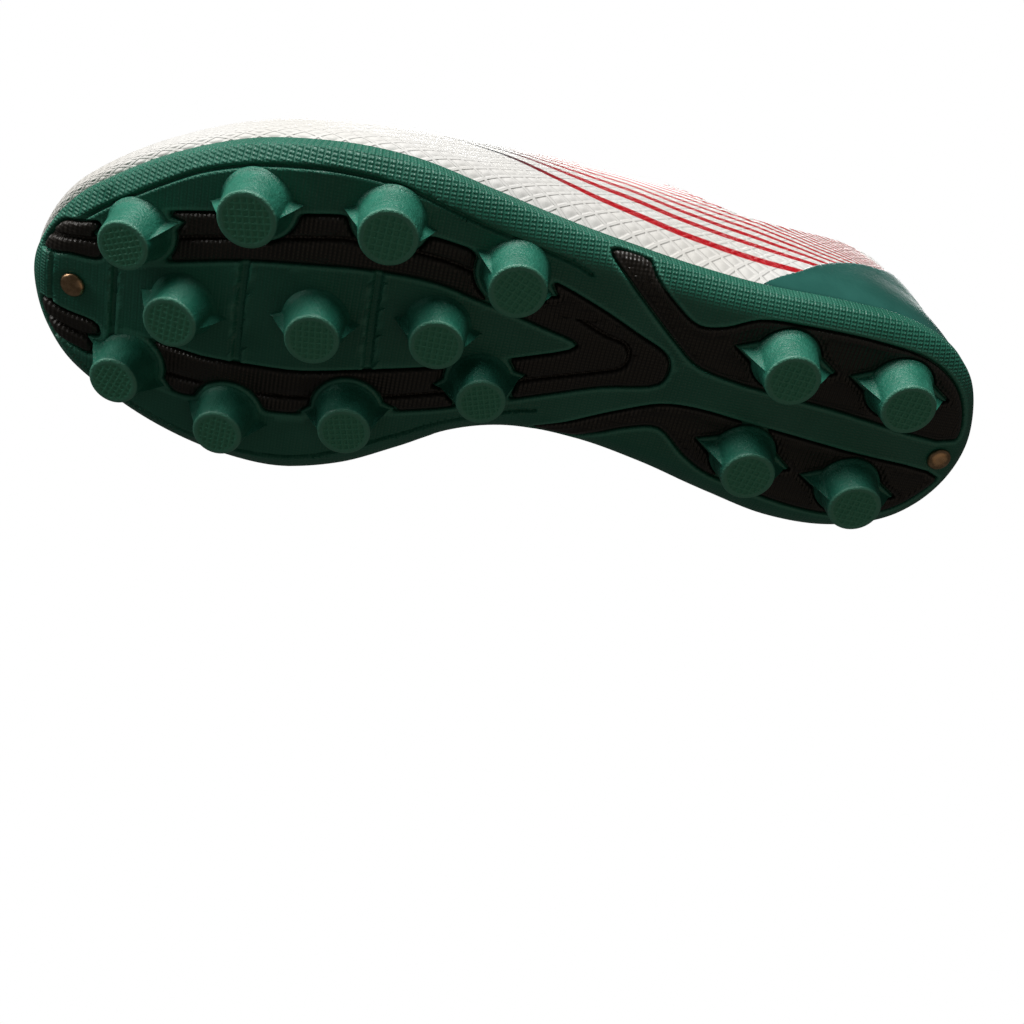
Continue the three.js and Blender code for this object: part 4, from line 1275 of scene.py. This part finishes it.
LOOKS["upper_lateral"] = upper_white("upper_net", True)
LOOKS["upper_medial"] = upper_white("upper_plain", False)
LOOKS["counter_teal"] = counter_teal()
LOOKS["lining_red"] = knit("lining_red", (0.20, 0.004, 0.010), (0.50, 0.012, 0.025), 1.3, 0.25)
LOOKS["tongue_white"] = knit("tongue_white", (0.42, 0.41, 0.39), (0.80, 0.79, 0.76), 1.5, 0.3)
LOOKS["liner_fabric"] = knit("liner_fabric", (0.012, 0.012, 0.014), (0.045, 0.045, 0.05), 1.1, 0.25)


# ---- Parts of the upper ----
UPPER_FLOOR = -0.045           # v of the upper's lower edge, hidden behind the rim
SEAM_WIDTH = 1.1
SEAM_DEPTH = 0.5
EYELET_BEAD = 0.3
HEM_DEPTH = 0.25               # of the stitched line beside the upper's edges


def seam_groove(points, spots):
    """The upper's halves dip where they are sewn together and along their edges' stitching, and rise
    in a bead round each eyelet."""
    lean = np.abs(points[:, 2] - np.round(points[:, 2]))
    away = np.minimum(lean * HALF_LENGTH, (1 - points[:, 3]) * WALL_GIRTH)
    dip = SEAM_DEPTH * (1 - smooth(away / SEAM_WIDTH))
    ring = round_eyelets(spots)
    bead = EYELET_BEAD * ridge(ring, 1.0, 0.5)
    hem = HEM_DEPTH * ridge(np.minimum(below_topline(spots), beside_throat(spots)), 3.0, 0.5)
    return dip - bead + hem


def upper_reach(points, spots):
    return np.minimum.reduce([below_topline(spots), beside_throat(spots), round_eyelets(spots)])


def upper_half(name, w_range, look, extra):
    grid = form_grid(190, 64, w_range, (UPPER_FLOOR, 1.0))
    made = layer(f"{name}_shell", grid, on_form, upper_reach, 0.0, UPPER_THICKNESS, 0.55, LOOKS[look],
                 seam_groove, extra)
    finish_piece(made, "shoe", "upper_white", name)


OVERLAY_THICKNESS = 0.8


def counter_reach(points, spots):
    side = spots[:, [0, 2]]
    loop = np.vstack([COUNTER_EDGE, [(262, 4)], [(169, 4)]])
    return np.minimum(inside(side, loop), points[:, 1] - 0.1)


def heel_counter():
    grid = form_grid(170, 60, (0.6, 1.4), (0.0, 0.75))
    made = layer("heel_counter_film", grid, on_form, counter_reach, -OVERLAY_THICKNESS - 0.02, -0.02, 0.4,
                 LOOKS["counter_teal"])
    finish_piece(made, "shoe", "counter_teal", "heel_counter")


TONGUE_LOW = 48.0              # the tongue's sides end at this height
COLLAR_RISE = 2.6              # height of the collar above the edge of the upper
HEEL_TAB_RISE = 3.0            # and how much more of it shows at the heel
STIFFENER_THICKNESS = 1.2
STIFFENER_LOOP = rounded([(176, 6), (177.5, 22), (182, 34), (196, 45), (215, 52), (240, 55), (266, 56),
                          (266, 6)], 3)


def collar_reach(points, spots):
    front = spots[:, 0] - 140 - 0.02 * (60 - spots[:, 2])
    heel = HEEL_TAB_RISE * smooth((spots[:, 0] - 194) / 16)
    return np.minimum.reduce([below_topline(spots, COLLAR_RISE) + heel, beside_throat(spots) - 0.6, front,
                              points[:, 1] + 2.0])


def collar():
    grid = form_grid(170, 60, (0.5, 1.5), (-0.03, 1.0))
    top = UPPER_THICKNESS + 0.06

    def recess(points, spots):
        return (STIFFENER_THICKNESS + 0.1) * smooth((inside(spots[:, [0, 2]], STIFFENER_LOOP) + 1.5) / 1.2)

    made = layer("collar_knit", grid, on_form, collar_reach, top, top + COLLAR_THICKNESS, 1.65,
                 LOOKS["lining_red"], recess, None, 0.8)
    finish_piece(made, "shoe", "lining_red", "collar_lining")


def heel_stiffener():
    top = UPPER_THICKNESS + 0.04

    def reach(points, spots):
        return np.minimum(inside(spots[:, [0, 2]], STIFFENER_LOOP), points[:, 1] + 2.0)

    grid = form_grid(120, 40, (0.6, 1.4), (-0.03, 0.7))
    made = layer("heel_stiffener_sheet", grid, on_form, reach, top, top + STIFFENER_THICKNESS, 0.4,
                 LOOKS["stiffener_plastic"], None, None, 1.2)
    finish_piece(made, "shoe", "stiffener_plastic", "heel_stiffener")


def tongue():
    top = UPPER_THICKNESS + COLLAR_THICKNESS + 0.66

    def reach(points, spots):
        return np.minimum(inside(spots[:, :2], TONGUE_LOOP), spots[:, 2] - TONGUE_LOW)

    def quilted(points, spots):
        return 0.7 * ridge(reach(points, spots), 3.2, 0.7)

    grid = form_grid(130, 90, (0.2, 0.85), (-0.62, 0.62))
    made = layer("tongue_padding", grid, on_crest, reach, top, top + TONGUE_THICKNESS, 1.9,
                 LOOKS["tongue_white"], quilted)
    finish_piece(made, "tongue", "tongue_white", "tongue")


LINER_ROUND = 1.2
HEEL_CUP = 2.2                 # rise of the sock liner's edge round the heel
LINER_LIP = 0.36               # and all round


def sock_liner():
    inset = WALL_INSET + UPPER_THICKNESS + COLLAR_THICKNESS + 3 * GAP
    rings = inset + np.array([0, 0.1, 0.35, 0.8, 1.5, 3.0, 5.0])
    points, quads, loop, _ = sole_grid((130, 40), list(rings))
    away = points[:, 2] - inset
    drop = round_over(away, LINER_ROUND)
    cup = HEEL_CUP * smooth((9 - away) / 9) * smooth((points[:, 0] - 150) / 50)
    lip = LINER_LIP * smooth((8 - away) / 8)
    x, y = points[:, 0], points[:, 1]
    top = on_sole(x, y, LINER_Z + LINER_THICKNESS - drop + cup + lip)
    bottom = on_sole(x, y, LINER_Z + drop * 0.4)
    n = len(points)
    nxt = np.roll(loop, -1)
    sides = np.stack([loop, nxt, nxt + n, loop + n], -1)
    pattern = np.zeros((2 * n, 3))
    pattern[:, :2] = np.tile(points[:, :2], (2, 1))
    made = piece("sock_liner_padding", np.vstack([top, bottom]), [quads, quads[:, ::-1] + n, sides],
                 LOOKS["liner_fabric"], UPPER_SMOOTH, {"pattern": pattern})
    face_outwards(made)
    finish_piece(made, "liner", "liner_fabric", "sock_liner")


upper_half("upper_lateral", (0.0, 1.0), "upper_lateral", net_lines)
upper_half("upper_medial", (1.0, 2.0), "upper_medial", net_lines)
heel_counter()
heel_stiffener()
collar()
tongue()
sock_liner()

# ---- Hidden CAD pieces keep their shape ----
for node, slot in (("lasting_board", "board_fibre"), ("toe_puff", "stiffener_plastic")):
    hidden = frame["nodes"][node]
    hidden.data.materials.clear()
    hidden.data.materials.append(LOOKS[slot])

# ---- Stage, light and camera ----
CAMERA_PLACE = Vector((-0.0438, -0.1701, -0.2895))
CAMERA_VIEW = Vector((0.132, 0.577, 0.806)).normalized()
CAMERA_UP = Vector((-0.164, -0.789, 0.592)).normalized()
FOCAL_LENGTH = 49.11
SENSOR_WIDTH = 36.0
TOP_LIGHT = 2.4                # W/m2
TOP_LIGHT_SPREAD = 35          # degrees
FLOOR_HALF = 3.0               # metres
FLOOR_DROP = 0.0002            # keeps the floor clear of the studs' ends
WORLD_STRENGTH = 0.07


def studio_world():
    """White behind the object and dim warm light on it."""
    world = bpy.data.worlds.new("studio")
    bpy.context.scene.world = world
    world.use_nodes = True
    nodes, links = world.node_tree.nodes, world.node_tree.links
    background = nodes["Background"]
    dim = nodes.new("ShaderNodeBackground")
    dim.inputs["Color"].default_value = (1.0, 0.97, 0.92, 1)
    dim.inputs["Strength"].default_value = WORLD_STRENGTH
    background.inputs["Color"].default_value = (1, 1, 1, 1)
    background.inputs["Strength"].default_value = 1.0
    path = nodes.new("ShaderNodeLightPath")
    mix = nodes.new("ShaderNodeMixShader")
    links.new(path.outputs["Is Camera Ray"], mix.inputs[0])
    links.new(dim.outputs[0], mix.inputs[1])
    links.new(background.outputs[0], mix.inputs[2])
    links.new(mix.outputs[0], nodes["World Output"].inputs["Surface"])


def floor():
    """A pale floor that is seen from above only, so that the sole can be looked at through it."""
    mesh = bpy.data.meshes.new("floor")
    corners = [(x * FLOOR_HALF, y * FLOOR_HALF, 0) for x, y in ((-1, -1), (1, -1), (1, 1), (-1, 1))]
    mesh.from_pydata(corners, [], [(0, 1, 2, 3)])
    made = add_object("floor", mesh)
    made.location.z = CAD_BOX[0].z - FLOOR_DROP
    look = Look("floor", (0.80, 0.79, 0.77), 0.6)
    clear = look.node("ShaderNodeBsdfTransparent")
    mix = look.node("ShaderNodeMixShader")
    back = look.node("ShaderNodeNewGeometry").outputs["Backfacing"]
    look.links.new(back, mix.inputs[0])
    look.links.new(look.shader.outputs[0], mix.inputs[1])
    look.links.new(clear.outputs[0], mix.inputs[2])
    look.links.new(mix.outputs[0], look.nodes["Material Output"].inputs["Surface"])
    mesh.materials.append(look.material)
    made.visible_shadow = False
    made.visible_diffuse = False
    made.visible_glossy = False


def lamp(name, towards, distance, size, power, color, target=(0, 0, 0.03)):
    """A square soft light, set off from the target in the direction towards."""
    light = bpy.data.lights.new(name, "AREA")
    light.shape = "SQUARE"
    light.size = size
    light.energy = power
    light.color = color
    made = add_object(name, light)
    direction = Vector(towards).normalized()
    made.location = Vector(target) + direction * distance
    made.rotation_mode = "QUATERNION"
    made.rotation_quaternion = (-direction).to_track_quat("-Z", "Y")
    return made


def studio():
    """The stage, a key light and a fill set off from the camera, one light at the toe and a top light."""
    studio_world()
    floor()
    above = CAMERA_UP * 0.95 - CAMERA_VIEW * 0.42
    below = -CAMERA_UP * 0.8 - CAMERA_VIEW * 0.7 + CAMERA_VIEW.cross(CAMERA_UP) * 0.4
    lamp("key", above, 0.9, 0.36, 8.2, (1.0, 0.99, 0.97))
    lamp("warm_fill", below, 1.1, 0.8, 0.5, (1.0, 0.78, 0.55))
    lamp("toe", (-0.85, -0.5, 0.12), 0.9, 0.4, 3.0, (1.0, 0.98, 0.95))
    sun = bpy.data.lights.new("top", "SUN")
    sun.energy = TOP_LIGHT
    sun.angle = math.radians(TOP_LIGHT_SPREAD)
    made = add_object("top", sun)
    made.rotation_euler = (math.radians(-17), math.radians(9), 0)


def camera():
    lens = bpy.data.cameras.new("camera")
    lens.lens = FOCAL_LENGTH
    lens.sensor_width = SENSOR_WIDTH
    lens.clip_start, lens.clip_end = 0.01, 20.0
    made = add_object("camera", lens)
    right = CAMERA_VIEW.cross(CAMERA_UP).normalized()
    up = right.cross(CAMERA_VIEW).normalized()
    turn = Matrix((right, up, -CAMERA_VIEW)).transposed()
    made.matrix_world = Matrix.Translation(CAMERA_PLACE) @ turn.to_4x4()
    bpy.context.scene.camera = made


studio()
camera()
bpy.context.scene.view_settings.view_transform = "Standard"
